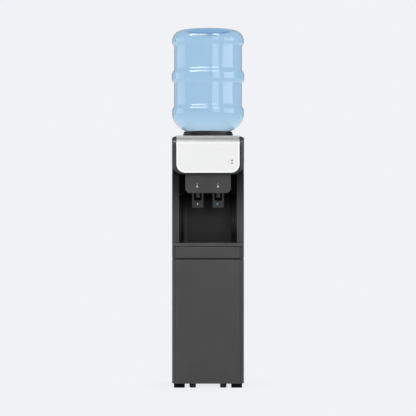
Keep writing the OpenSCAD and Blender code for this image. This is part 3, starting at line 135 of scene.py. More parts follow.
class Surface:
    """One material's node tree: its shader, and the place of a point on the cooler."""

    def __init__(self, name: str) -> None:
        """Makes the material with its shader.

        Args:
            name: The material's name.
        """
        self.material = bpy.data.materials.new(name)
        self.material.use_nodes = True
        self.tree = self.material.node_tree
        self.tree.nodes.clear()
        self.shader = add_node(self.tree, "ShaderNodeBsdfPrincipled")
        self.output = add_node(self.tree, "ShaderNodeOutputMaterial",
                               {"Surface": self.shader.outputs[0]})
        self.place = self.add("ShaderNodeTexCoord", out="Object")
        self.axes = add_node(self.tree, "ShaderNodeSeparateXYZ", {0: self.place}).outputs

    def add(self, kind: str, inputs: Sockets | None = None, out: int | str = 0,
            **settings: object) -> bpy.types.NodeSocket:
        """Adds a node to this material, as add_node() does.

        Args:
            kind: The node's type.
            inputs: What its inputs hold.
            out: Which of its outputs is wanted.
            **settings: The node's own properties.

        Returns:
            That output.
        """
        return add_node(self.tree, kind, inputs, **settings).outputs[out]

    def put(self, inputs: Sockets) -> None:
        """Sets or links the shader's own inputs."""
        fill(self.tree, self.shader, inputs)


class Mould(Enum):
    """How the face of an injection mould was finished: grain in mm, its depth and its gloss."""

    POLISHED = (6.0, 0.004, 0.22)
    SATIN = (2.2, 0.012, 0.32)
    SPARK_ERODED = (1.3, 0.03, 0.42)

    @property
    def grain(self) -> float:
        """Size of the grain in millimetres."""
        return self.value[0]

    @property
    def depth(self) -> float:
        """Depth of the grain in millimetres."""
        return self.value[1]

    @property
    def roughness(self) -> float:
        """Roughness of the moulded face."""
        return self.value[2]


@dataclass(frozen=True)
class Finish:
    """A finish of the cooler, made into a material the first time that a piece asks for it."""

    name: str
    colour: str
    shade: str
    # The four fields below set a painted shade: the colour deepens and dulls up to a height,
    # standing in for a soft shadow under the head
    painted_shade_top: float = 0
    painted_shade_reach: float = 0
    painted_shade_share: float = 0.2
    painted_shade_behind: float = 0

    def material(self) -> bpy.types.Material:
        """Returns the finish's material, and makes it if it isn't there yet."""
        made = bpy.data.materials.get(self.name)
        if made is None:
            surface = Surface(self.name)
            surface.put({"Base Color": linear(self.colour)})
            self.dress(surface)
            made = surface.material
            made.diffuse_color = linear(self.colour)
        return made

    def dress(self, surface: Surface) -> None:
        """Adds the finish's own pattern to the surface."""

    def mottle(self, surface: Surface, share: bpy.types.NodeSocket) -> bpy.types.NodeSocket:
        """Mixes the finish's two colours.

        Args:
            surface: The surface that is dressed.
            share: How much of the second colour shows, from 0 to 1.

        Returns:
            The mixed colour, deeper and duller towards the head. This stands in for the soft
            shadow there, so it is written for this light.
        """
        add = surface.add
        mixed = add("ShaderNodeMix", {0: share, 6: linear(self.colour), 7: linear(self.shade)},
                    2, data_type="RGBA")
        if not self.painted_shade_reach:
            return mixed
        # Painted shade: colour and sheen fall off towards the top height, except on faces set
        # further back than the given depth
        painted_shade = add("ShaderNodeMapRange", {
            "Value": surface.axes[2], "From Min": (self.painted_shade_top - self.painted_shade_reach) * MM,
            "From Max": self.painted_shade_top * MM, "To Min": 1.0, "To Max": self.painted_shade_share},
            interpolation_type="SMOOTHSTEP")
        if self.painted_shade_behind:
            open_side = add("ShaderNodeMapRange", {
                "Value": surface.axes[1], "From Min": self.painted_shade_behind * MM,
                "From Max": (self.painted_shade_behind + 8) * MM})
            painted_shade = add("ShaderNodeMath", {0: painted_shade, 1: open_side}, operation="MAXIMUM")
        # The export drops a linked specular level, so this dulling is lost there
        surface.put({"Specular IOR Level": add("ShaderNodeMath", {0: painted_shade, 1: 0.3},
                                               operation="MULTIPLY")})
        return add("ShaderNodeMix", {0: 1.0, 6: mixed, 7: painted_shade}, 2, data_type="RGBA",
                   blend_type="MULTIPLY")


@dataclass(frozen=True)
class PowderCoat(Finish):
    """Polyester powder baked on steel sheet: a fine orange peel under a satin sheen."""

    peel: float = 2.4
    depth: float = 0.03
    roughness: float = 0.36

    def dress(self, surface: Surface) -> None:
        """Adds the orange peel and the faint haze of handling."""
        add, place = surface.add, surface.place
        # Real peel is about 1 mm across and is drawn at twice that, so that it shows
        peel = add("ShaderNodeTexNoise", {"Vector": place, "Roughness": 0.55,
                                          "Scale": per_mm(self.peel), "Detail": 2.0})
        haze = add("ShaderNodeTexNoise", {"Vector": place, "Detail": 4.0,
                                          "Scale": per_mm(90), "Roughness": 0.6})
        middle = {"Value": haze, "From Min": 0.3, "From Max": 0.7}
        surface.put({"Specular IOR Level": 0.3})
        surface.put({
            "Base Color": self.mottle(surface, add("ShaderNodeMapRange", middle)),
            "Roughness": add("ShaderNodeMapRange", middle | {
                "To Min": self.roughness - 0.04, "To Max": self.roughness + 0.05}),
            "Normal": add("ShaderNodeBump", {"Height": peel, "Strength": 0.6,
                                             "Distance": self.depth * MM})})


@dataclass(frozen=True)
class MouldedPlastic(Finish):
    """Injection-moulded ABS or polystyrene with the grain that its mould left on it."""

    mould: Mould = Mould.SATIN
    specular: float = 0.5

    def dress(self, surface: Surface) -> None:
        """Adds the mould's grain and a slow change of gloss where the melt cooled."""
        add, place = surface.add, surface.place
        grain = add("ShaderNodeTexNoise", {"Vector": place, "Detail": 3.0,
                                           "Scale": per_mm(self.mould.grain)})
        flow = add("ShaderNodeTexNoise", {"Vector": place, "Detail": 2.0,
                                          "Scale": per_mm(55)})
        surface.put({"Specular IOR Level": self.specular})
        surface.put({
            "Base Color": self.mottle(surface, flow),
            "Roughness": add("ShaderNodeMapRange", {
                "Value": flow, "From Min": 0.3, "From Max": 0.7,
                "To Min": self.mould.roughness - 0.05, "To Max": self.mould.roughness + 0.05}),
            "Normal": add("ShaderNodeBump", {"Height": grain, "Strength": 0.5,
                                             "Distance": self.mould.depth * MM})})


@dataclass(frozen=True)
class HeadPlastic(MouldedPlastic):
    """The head's black ABS, made deep where it steps back, to stand in for its shadow."""

    step_front: float = -140
    step_back: float = -126
    step_top: float = 834

    def mottle(self, surface: Surface, share: bpy.types.NodeSocket) -> bpy.types.NodeSocket:
        """Mixes the two colours, with painted shade on the set-back face.

        Args:
            surface: The surface that is dressed.
            share: How much of the second colour shows, from 0 to 1.

        Returns:
            The mixed colour.
        """
        add = surface.add
        behind, ahead, below = (
            add("ShaderNodeMapRange", {"Value": surface.axes[axis], "From Min": start * MM,
                                       "From Max": end * MM})
            for axis, start, end in ((1, self.step_front, self.step_front + 3),
                                     (1, self.step_back, self.step_back - 6),
                                     (2, self.step_top + 8, self.step_top)))
        # Painted shade: the face set back under the fascia goes near black and loses its sheen
        band = add("ShaderNodeMath", {0: behind, 1: ahead}, operation="MULTIPLY")
        set_back_shade = add("ShaderNodeMath", {0: band, 1: below}, operation="MULTIPLY")
        surface.put({"Specular IOR Level": add("ShaderNodeMapRange", {
            "Value": set_back_shade, "To Min": self.specular, "To Max": 0.04})})
        return add("ShaderNodeMix", {0: set_back_shade, 6: super().mottle(surface, share),
                                     7: linear("#060606")}, 2, data_type="RGBA")


@dataclass(frozen=True)
class LinerPlastic(MouldedPlastic):
    """The recess's black ABS, with its side walls lifted and its corners and foot deepened.

    This stands in for the light that falls into the recess. The plastic itself is even.
    """

    wall_from: float = 88
    wall_gain: float = 4.0
    edge_share: float = 0.65
    tray_top: float = 562
    foot_share: float = 0.15

    def mottle(self, surface: Surface, share: bpy.types.NodeSocket) -> bpy.types.NodeSocket:
        """Mixes the two colours, with painted light on the side walls and painted shade beside
        them and above the tray.

        Args:
            surface: The surface that is dressed.
            share: How much of the second colour shows, from 0 to 1.

        Returns:
            The mixed colour.
        """
        add = surface.add
        side = add("ShaderNodeMath", {0: surface.axes[0]}, operation="ABSOLUTE")
        # Painted light and shade: the side walls are lifted, and the back wall next to them and
        # the foot above the tray are darkened
        painted_light_and_shade = None
        for value, start, end, low, high in (
                (side, self.wall_from, self.wall_from + 4, 1.0, self.wall_gain / self.edge_share),
                (side, self.wall_from - 30, self.wall_from, 1.0, self.edge_share),
                (surface.axes[2], self.tray_top, self.tray_top + 50, self.foot_share, 1.0)):
            part = add("ShaderNodeMapRange", {
                "Value": value, "From Min": start * MM, "From Max": end * MM,
                "To Min": low, "To Max": high})
            painted_light_and_shade = part if painted_light_and_shade is None else add("ShaderNodeMath", {0: painted_light_and_shade, 1: part},
                                                 operation="MULTIPLY")
        return add("ShaderNodeMix", {0: 1.0, 6: super().mottle(surface, share), 7: painted_light_and_shade}, 2,
                   data_type="RGBA", blend_type="MULTIPLY")


@dataclass(frozen=True)
class FasciaPaint(Finish):
    """Fine silver-grey lacquer on moulded ABS, inside a moulded rim whose white is a painted
    highlight where the edge catches the light.
    """

    rim: str = "#ffffff"
    half_width: float = 116
    lower_edge: float = 794
    corner: float = 31
    rim_width: float = 5
    band: str = "#979797"
    band_top: float = 925.5
    band_low: float = 908

    def dress(self, surface: Surface) -> None:
        """Adds the lacquer's flake, and the rim along the sides and the rounded lower edge,
        painted white as a painted highlight.
        """
        add, place = surface.add, surface.axes
        side = add("ShaderNodeMath", {0: place[0]}, operation="ABSOLUTE")
        across = add("ShaderNodeMath", {0: side, 1: (self.half_width - self.corner) * MM},
                     operation="SUBTRACT")
        below = add("ShaderNodeMath", {0: (self.lower_edge + self.corner) * MM, 1: place[2]},
                    operation="SUBTRACT")
        # Distance from the rounded outline, as from a rectangle grown by its corner radius
        corner = add("ShaderNodeCombineXYZ", {0: across, 1: below})
        outside = add("ShaderNodeVectorMath", {0: corner, 1: (0, 0, 0)}, operation="MAXIMUM")
        far = add("ShaderNodeVectorMath", {0: outside}, "Value", operation="LENGTH")
        most = add("ShaderNodeMath", {0: across, 1: below}, operation="MAXIMUM")
        near = add("ShaderNodeMath", {0: most, 1: 0.0}, operation="MINIMUM")
        reach = add("ShaderNodeMath", {0: far, 1: near}, operation="ADD")
        on_rim = add("ShaderNodeMapRange", {
            "Value": reach, "From Min": (self.corner - self.rim_width - 1.2) * MM,
            "From Max": (self.corner - self.rim_width) * MM})
        flake = add("ShaderNodeTexNoise", {"Vector": surface.place, "Detail": 2.0,
                                           "Scale": per_mm(1.5)})
        # Painted highlight: the rim is painted white, where its edge catches the light
        tone = add("ShaderNodeMix", {0: on_rim, 6: self.mottle(surface, flake),
                                     7: linear(self.rim)}, 2, data_type="RGBA")
        # Painted reflection: a grey band stands in for what the rolled top mirrors, and near the
        # crest it gives way to the lacquer's pale tone, a painted highlight along the top edge
        ramp = add("ShaderNodeMapRange", {
            "Value": place[2], "From Min": (self.band_low - 5) * MM,
            "From Max": (self.band_low + 3) * MM}, interpolation_type="SMOOTHSTEP")
        crest = add("ShaderNodeMapRange", {
            "Value": place[2], "From Min": (self.band_top - 1) * MM,
            "From Max": self.band_top * MM, "To Min": 1.0, "To Max": 0.25})
        roll = add("ShaderNodeMath", {0: ramp, 1: crest}, operation="MULTIPLY")
        surface.put({
            "Base Color": add("ShaderNodeMix", {0: roll, 6: tone, 7: linear(self.band)}, 2,
                              data_type="RGBA"),
            "Roughness": 0.32,
            "Normal": add("ShaderNodeBump", {"Height": on_rim, "Strength": 0.4,
                                             "Distance": 0.3 * MM})})


@dataclass(frozen=True)
class Rubber(Finish):
    """Moulded nitrile rubber: matt, with dust in its pores."""

    def dress(self, surface: Surface) -> None:
        """Adds the pores and the dust."""
        add = surface.add
        pores = add("ShaderNodeTexNoise", {"Vector": surface.place, "Detail": 5.0,
                                           "Scale": per_mm(3)})
        surface.put({"Base Color": self.mottle(surface, pores), "Roughness": 0.72,
                     "Specular IOR Level": 0.12,
                     "Normal": add("ShaderNodeBump", {"Height": pores, "Strength": 0.5,
                                                      "Distance": 0.05 * MM})})


@dataclass(frozen=True)
class Galvanised(Finish):
    """Hot-dip zinc on sheet steel: dull grey metal with spangles about 12 mm across."""

    spangle: float = 12

    def dress(self, surface: Surface) -> None:
        """Adds the spangles, each with its own tone and gloss."""
        add = surface.add
        cells = add("ShaderNodeTexVoronoi", {"Vector": surface.place,
                                             "Scale": per_mm(self.spangle)}, "Color")
        tone = add("ShaderNodeSeparateColor", {0: cells})
        surface.put({"Base Color": self.mottle(surface, tone), "Metallic": 1.0,
                     "Roughness": add("ShaderNodeMapRange", {"Value": tone, "To Min": 0.36,
                                                             "To Max": 0.52})})


@dataclass(frozen=True)
class DrawnMetal(Finish):
    """Metal with the fine lines of drawing, brushing or turning along one direction."""

    roughness: float = 0.3
    line: float = 0.8
    stretch: tuple[float, float, float] = (1, 1, 12)

    def dress(self, surface: Surface) -> None:
        """Adds the lines and the slight tarnish between them."""
        add = surface.add
        along = add("ShaderNodeMapping", {"Vector": surface.place, "Scale": self.stretch})
        lines = add("ShaderNodeTexNoise", {"Vector": along, "Detail": 3.0,
                                           "Scale": per_mm(self.line * 12)})
        surface.put({"Base Color": self.mottle(surface, lines), "Metallic": 1.0,
                     "Roughness": add("ShaderNodeMapRange", {
                         "Value": lines, "To Min": self.roughness - 0.08,
                         "To Max": self.roughness + 0.12})})


@dataclass(frozen=True)
class Enamel(Finish):
    """Black stoving enamel dipped over steel: glossy, with slow runs."""

    def dress(self, surface: Surface) -> None:
        """Adds the runs of the dip and a little dust on top."""
        add = surface.add
        runs = add("ShaderNodeTexNoise", {"Vector": surface.place, "Detail": 2.0,
                                          "Scale": per_mm(14)})
        surface.put({"Base Color": self.mottle(surface, runs),
                     "Roughness": add("ShaderNodeMapRange", {"Value": runs, "To Min": 0.2,
                                                             "To Max": 0.45}),
                     "Normal": add("ShaderNodeBump", {"Height": runs, "Strength": 0.4,
                                                      "Distance": 0.15 * MM})})


@dataclass(frozen=True)
class ClearPlastic(Finish):
    """Blown or moulded clear resin: tinted through its wall, with a faintly uneven skin."""

    ior: float = 1.3
    roughness: float = 0.03
    wave: float = 38
    depth: float = 0.1
    pale_tint: str = ""
    pale_tint_below: float = 0
    deep_tint: str = ""
    deep_tint_above: float = 0
    deep_tint_inside: float = 0

    def dress(self, surface: Surface) -> None:
        """Adds the tint and the slow waves that blowing leaves in the wall."""
        add, place = surface.add, surface.axes
        waves = add("ShaderNodeTexNoise", {"Vector": surface.place, "Detail": 2.0,
                                           "Scale": per_mm(self.wave)})
        tint = self.mottle(surface, waves)
        if self.pale_tint:
            # The tint is paler over the shoulder; its span was fitted
            stretch = add("ShaderNodeMapRange", {
                "Value": place[2], "From Min": (self.pale_tint_below - 30) * MM,
                "From Max": (self.pale_tint_below + 35) * MM, "To Min": 1.0, "To Max": 0.0},
                interpolation_type="SMOOTHSTEP")
            tint = add("ShaderNodeMix", {0: stretch, 6: tint, 7: linear(self.pale_tint)}, 2,
                       data_type="RGBA")
        if self.deep_tint:
            # The tint is deeper inside the base's ring; its span was fitted
            flat = add("ShaderNodeCombineXYZ", {0: place[0], 1: place[1]})
            radius = add("ShaderNodeVectorMath", {0: flat}, "Value", operation="LENGTH")
            inside = add("ShaderNodeMapRange", {
                "Value": radius, "From Min": self.deep_tint_inside * MM,
                "From Max": (self.deep_tint_inside - 4) * MM})
            above = add("ShaderNodeMapRange", {
                "Value": place[2], "From Min": (self.deep_tint_above - 4) * MM,
                "From Max": self.deep_tint_above * MM})
            deep_share = add("ShaderNodeMath", {0: inside, 1: above}, operation="MULTIPLY")
            tint = add("ShaderNodeMix", {0: deep_share, 6: tint, 7: linear(self.deep_tint)}, 2,
                       data_type="RGBA")
        surface.put({"Base Color": tint, "IOR": self.ior, "Transmission Weight": 1.0,
                     "Roughness": self.roughness,
                     "Normal": add("ShaderNodeBump", {"Height": waves, "Strength": 0.3,
                                                      "Distance": self.depth * MM})})


@dataclass(frozen=True)
class Foam(Finish):
    """Expanded polystyrene: fused beads about 4 mm across."""

    bead: float = 4

    def dress(self, surface: Surface) -> None:
        """Adds the beads and the lines between them."""
        add = surface.add
        beads = add("ShaderNodeTexVoronoi", {"Vector": surface.place,
                                             "Scale": per_mm(self.bead)}, "Distance")
        edge = add("ShaderNodeMapRange", {"Value": beads, "From Min": 0.3, "From Max": 0.7})
        surface.put({"Base Color": self.mottle(surface, edge), "Roughness": 0.8,
                     "Normal": add("ShaderNodeBump", {"Height": beads, "Strength": 0.6,
                                                      "Distance": 0.4 * MM}, invert=True)})


@dataclass(frozen=True)
class PrintedInk(Finish):
    """Pad-printed ink: a flat, slightly broken film on the plastic."""

    def dress(self, surface: Surface) -> None:
        """Adds the broken edge of the film."""
        film = surface.add("ShaderNodeTexNoise", {"Vector": surface.place, "Detail": 3.0,
                                                  "Scale": per_mm(1.5)})
        surface.put({"Base Color": self.mottle(surface, film), "Roughness": 0.45})


@dataclass(frozen=True)
class Laminate(Finish):
    """Glass-cloth circuit board: a green mask over a weave of about 1.5 mm."""

    thread: float = 1.5

    def dress(self, surface: Surface) -> None:
        """Adds the weave under the mask."""
        weave = surface.add("ShaderNodeTexChecker", {
            "Vector": surface.place, "Scale": per_mm(self.thread)}, "Fac")
        surface.put({"Base Color": self.mottle(surface, weave), "Roughness": 0.35,
                     "Coat Weight": 0.4})


class Finishes:
    """Every finish on the cooler."""

    cabinet = PowderCoat("charcoal_powder_coat", "#414141", "#434343")
    # Painted shade: the upper sides are a darker copy of the cabinet's coat, and they deepen
    # further towards the head
    upper = PowderCoat("charcoal_coat_upper_shaded", "#373738", "#3a3a3a", painted_shade_top=790, painted_shade_reach=190,
                       painted_shade_share=0.22, painted_shade_behind=-116)
    rear_steel = PowderCoat("grey_powder_coat", "#4a4c4f", "#505256", roughness=0.5)
    galvanised = Galvanised("hot_dip_zinc", "#a7abae", "#8f9498")
    shell = MouldedPlastic("black_abs_satin", "#1d1d1e", "#212122", mould=Mould.SPARK_ERODED,
                           specular=0.2)
    head = HeadPlastic("black_abs_head", "#333334", "#373738", specular=0.25, mould=Mould.SATIN)
    collar = MouldedPlastic("black_abs_collar", "#070708", "#0b0b0c", specular=0.25,
                            mould=Mould.SPARK_ERODED)
    # Painted shade: the liner also deepens towards its top, under the head
    liner = LinerPlastic("black_abs_spark", "#161616", "#1a1a1a", mould=Mould.SPARK_ERODED,
                         painted_shade_top=722, painted_shade_reach=110, painted_shade_share=0.12)
    tap_panel = MouldedPlastic("charcoal_abs_spark", "#333333", "#353535", specular=0.35,
                               mould=Mould.SPARK_ERODED)
    tray = MouldedPlastic("charcoal_abs_satin", "#3f3f3f", "#424242", mould=Mould.SATIN)
    grille = MouldedPlastic("dark_grey_abs", "#2b2b2c", "#303031", mould=Mould.SATIN)
    fascia = FasciaPaint("silver_lacquer", "#eeeeed", "#ececeb")
    foot_rubber = Rubber("black_rubber", "#030303", "#060607")
    foot_nylon = MouldedPlastic("dark_nylon", "#0e0e0f", "#141415", mould=Mould.SATIN,
                                specular=0.25)
    gap_steel = PowderCoat("black_powder_coat", "#2c2c2d", "#303031", roughness=0.5)
    bottle = ClearPlastic("blue_polycarbonate", "#d3e8f6", "#cfe6f5", pale_tint="#dfeffa",
                          pale_tint_below=985, deep_tint="#a9c9e6",
                          deep_tint_above=1324, deep_tint_inside=86)
    cap = MouldedPlastic("blue_polyethylene", "#2d6fb3", "#2a68a8", mould=Mould.SATIN)
    white_plastic = MouldedPlastic("white_polypropylene", "#dfe1e0", "#d8dad9",
                                   mould=Mould.SATIN)
    foam = Foam("expanded_polystyrene", "#eceeed", "#d5d8d7")
    stainless = DrawnMetal("brushed_stainless", "#c3c6c9", "#aeb2b6")
    copper = DrawnMetal("drawn_copper", "#c07a52", "#9c5c3c", roughness=0.36)
    hose = ClearPlastic("food_silicone", "#dfe4e4", "#d6dcdc", ior=1.41, roughness=0.35)
    tap = MouldedPlastic("dark_acetal", "#202020", "#242424", mould=Mould.SATIN)
    paddle = MouldedPlastic("charcoal_acetal", "#222222", "#262626", mould=Mould.SATIN)
    trim = MouldedPlastic("black_nylon", "#1b1b1c", "#202021", mould=Mould.SATIN)
    compressor = Enamel("compressor_enamel", "#131314", "#1a1a1b")
    condenser = Enamel("condenser_enamel", "#151516", "#1c1c1e")
    zinc = DrawnMetal("zinc_plate", "#b9bcc0", "#a9a697", roughness=0.28)
    relay = MouldedPlastic("cream_phenolic", "#d6d0bd", "#cfc9b5", mould=Mould.SATIN)
    switch = MouldedPlastic("red_polycarbonate", "#a8201f", "#9c1c1b", mould=Mould.POLISHED)
    board = Laminate("circuit_laminate", "#1f5a34", "#27683e")
    red_lens = MouldedPlastic("red_acrylic", "#8c2a42", "#83263d", mould=Mould.POLISHED)
    green_lens = MouldedPlastic("green_acrylic", "#3f7a58", "#397252", mould=Mould.POLISHED)
    silver_ink = PrintedInk("silver_ink", "#b9b9b8", "#adadac")
    pale_ink = PrintedInk("pale_ink", "#bfbfbf", "#b6b6b6")
    grey_ink = PrintedInk("grey_ink", "#8b8c8e", "#808183")
    blue_ink = PrintedInk("blue_ink", "#2f7fae", "#2b75a1")


def coat(finish: Finish, *nodes: str, edge: float = 0) -> None:
    """Gives CAD nodes a finish, and breaks their sharp edges if they have a visible radius.

    Args:
        finish: The finish.
        *nodes: The nodes' names.
        edge: Radius of their moulded or folded edges in millimetres, or 0 to leave them.
    """
    for name in nodes:
        obj = frame["nodes"][name]
        for slot in obj.material_slots:
            slot.material = finish.material()
        if edge:
            soften(obj, edge)
        log.info("%s: %s", name, finish.name)


def smooth_group() -> bpy.types.NodeTree:
    """Returns the modifier group that joins a mesh's split corners and shades it smooth."""
    group = bpy.data.node_groups.get("joined_and_smooth")
    if group is None:
        group = bpy.data.node_groups.new("joined_and_smooth", "GeometryNodeTree")
        for side in ("INPUT", "OUTPUT"):
            group.interface.new_socket("Geometry", in_out=side,
                                       socket_type="NodeSocketGeometry")
        start = add_node(group, "NodeGroupInput")
        joined = add_node(group, "GeometryNodeMergeByDistance",
                          {"Geometry": start.outputs[0], "Distance": 0.005 * MM})
        shaded = add_node(group, "GeometryNodeSetShadeSmooth",
                          {"Geometry": joined.outputs[0], "Shade Smooth": True})
        add_node(group, "NodeGroupOutput", {0: shaded.outputs[0]})
    return group


def soften(obj: bpy.types.Object, edge: float) -> None:
    """Rounds an object's sharp edges with modifiers, so that its own mesh stays as it is.

    Args:
        obj: The object.
        edge: The edges' radius in millimetres.
    """
    obj.modifiers.new("joined", "NODES").node_group = smooth_group()
    flat = obj.modifiers.new("flat_faces", "DECIMATE")
    flat.decimate_type = "DISSOLVE"
    flat.angle_limit = math.radians(0.4)
    bevel = obj.modifiers.new("soft_edges", "BEVEL")
    bevel.width = edge * MM
    bevel.segments = 2
    bevel.limit_method = "ANGLE"
    bevel.angle_limit = math.radians(35)
    obj.modifiers.new("shading", "WEIGHTED_NORMAL").weight = 100


def settle(name: str, mesh: bmesh.types.BMesh, finish: Finish, body: str, slot: str,
           replaces: Iterable[str] = (), sharp: float = 35) -> bpy.types.Object:
    """Turns a built mesh into a piece of the cooler.

    Args:
        name: The piece's name.
        mesh: What was built, in millimetres. It is freed.
        finish: Its finish.
        body: The body it rides on.
        slot: The record's material slot for the piece; not used.
        replaces: CAD nodes that it stands for.
        sharp: Angle in degrees above which an edge stays sharp.

    Returns:
        The piece.
    """
    bmesh.ops.recalc_face_normals(mesh, faces=mesh.faces)
    bmesh.ops.scale(mesh, vec=(MM, MM, MM), verts=mesh.verts)
    data = bpy.data.meshes.new(name)
    mesh.to_mesh(data)
    mesh.free()
    for face in data.polygons:
        face.use_smooth = True
    data.set_sharp_from_angle(angle=math.radians(sharp))
    data.materials.append(finish.material())
    piece = bpy.data.objects.new(name, data)
    bpy.context.scene.collection.objects.link(piece)
    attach(piece, body)
    if replaces:
        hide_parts(*replaces)
    log.info("%s: built, %d faces, rides on %s", name, len(data.polygons), body)
    return piece


def revolve(mesh: bmesh.types.BMesh, profile: Sequence[Point], steps: int,
            place: Matrix | None = None, closed: bool = True) -> None:
    """Turns a profile round an axis.

    Args:
        mesh: The mesh to add to.
        profile: Radius and height of each point, in order round the section.
        steps: Points round the axis.
        place: Where the axis goes, or None for the upright axis through the origin.
        closed: Whether the last point joins the first.
    """
    place = place or Matrix.Identity(4)
    rings: list[list[bmesh.types.BMVert]] = []
    for radius, height in profile:
        count = steps if radius > 1e-6 else 1
        rings.append([mesh.verts.new(place @ Vector((
            radius * math.cos(math.tau * k / steps), radius * math.sin(math.tau * k / steps),
            height))) for k in range(count)])
    pairs = list(zip(rings, rings[1:] + rings[:1]))
    for low, high in pairs if closed else pairs[:-1]:
        for k in range(steps):
            corners = [low[k % len(low)], low[(k + 1) % len(low)],
                       high[(k + 1) % len(high)], high[k % len(high)]]
            unique = list(dict.fromkeys(corners))
            if len(unique) > 2:
                mesh.faces.new(unique)


def arc(centre: Point, radius: float, start: float, end: float, steps: int) -> list[Point]:
    """Points of an arc.

    Args:
        centre: Its centre.
        radius: Its radius.
        start: Where it starts, in degrees.
        end: Where it ends, in degrees.
        steps: Number of steps along it.

    Returns:
        The points, from start to end.
    """
    angles = [math.radians(start + (end - start) * i / steps) for i in range(steps + 1)]
    return [(centre[0] + radius * math.cos(a), centre[1] + radius * math.sin(a))
            for a in angles]


def facing_back(x: float, y: float, z: float) -> Matrix:
    """Returns the place of an axis through a point that runs backwards along +Y."""
    return Matrix.Translation((x, y, z)) @ Matrix.Rotation(-math.pi / 2, 4, "X")


def facing_front(x: float, y: float, z: float) -> Matrix:
    """Returns the place of an axis through a point that runs forwards along -Y."""
    return Matrix.Translation((x, y, z)) @ Matrix.Rotation(math.pi / 2, 4, "X")


@dataclass
class Feet:
    """Rubber pads at the corners and two levelling feet at the front."""

    def build(self) -> None:
        """Dresses the feet."""
        coat(Finishes.foot_rubber, "foot_pads", edge=1.2)
        coat(Finishes.foot_nylon, "left_levelling_foot", "right_levelling_foot")


@dataclass
class Cabinet:
    """Lower cabinet and upper body: folded steel panels with their frame and screws."""

    half_width: float = 133
    flange: float = 12
    y_rear: float = 126.96
    screw_levels: tuple[float, ...] = (50, 443, 510, 759)
    head_d: float = 8
    head_h: float = 2
    recess_r: float = 2.4
    cross_depth: float = 1.3
    cross_arm: float = 0.5

    def build(self) -> None:
        """Dresses the panels and builds the screws."""
        coat(Finishes.cabinet, "left_lower_side", "right_lower_side")
        coat(Finishes.upper, "left_upper_side", "right_upper_side")
        coat(Finishes.cabinet, "lower_front_panel", "mid_front_panel", edge=1.2)
        coat(Finishes.rear_steel, "lower_rear_panel", "upper_rear_panel")
        coat(Finishes.galvanised, "base_plate", "tank_shelf")
        coat(Finishes.gap_steel, "mid_frame")
        self.screws()

    def screws(self) -> bpy.types.Object:
        """Builds the pan-head screws of the rear panels, with their cross recesses.

        Returns:
            All the screws as one piece.
        """
        mesh = bmesh.new()
        radius, height = self.head_d / 2, self.head_h
        recess, depth, arm = self.recess_r, self.cross_depth, self.cross_arm
        for side in (-1, 1):
            for level in self.screw_levels:
                place = facing_back(side * (self.half_width - self.flange / 2), self.y_rear,
                                    level)
                rim = [(radius, 0.0)] + arc((radius - 0.9, height - 0.9), 0.9, 0, 90, 4)
                revolve(mesh, [(0, -6), (1.7, -6), (1.7, 0)] + rim + [(recess, height)], 24,
                        place, closed=False)
                self.cross(mesh, place, height, recess, depth, arm)
        return settle("rear_screws", mesh, Finishes.zinc, "cooler", "zinc_steel",
                      ["panel_screws"])

    @staticmethod
    def cross(mesh: bmesh.types.BMesh, place: Matrix, top: float, recess: float,
              depth: float, arm: float) -> None:
        """Adds the sunk cross in a screw's head.

        Args:
            mesh: The mesh to add to.
            place: The screw's place.
            top: Height of the head.
            recess: Radius of the ring that the cross is cut in.
            depth: Depth of the cross.
            arm: Half the width of an arm.
        """
        reach = recess * 0.8
        outline = [(reach, -arm), (reach, arm), (arm, arm), (arm, reach), (-arm, reach),
                   (-arm, arm), (-reach, arm), (-reach, -arm), (-arm, -arm), (-arm, -reach),
                   (arm, -reach), (arm, -arm)]
        upper = [mesh.verts.new(place @ Vector((x, y, top))) for x, y in outline]
        lower = [mesh.verts.new(place @ Vector((x * 0.7, y * 0.7, top - depth)))
                 for x, y in outline]
        for i in range(12):
            j = (i + 1) % 12
            mesh.faces.new((upper[i], upper[j], lower[j], lower[i]))
        mesh.faces.new(lower)
        ring = [mesh.verts.new(place @ Vector((recess * math.cos(math.tau * k / 24),
                                               recess * math.sin(math.tau * k / 24), top)))
                for k in range(24)]
        edges = [mesh.edges.get((ring[k], ring[(k + 1) % 24]))
                 or mesh.edges.new((ring[k], ring[(k + 1) % 24])) for k in range(24)]
        edges += [mesh.edges.get((upper[i], upper[(i + 1) % 12])) for i in range(12)]
        bmesh.ops.triangle_fill(mesh, edges=edges, use_beauty=True)


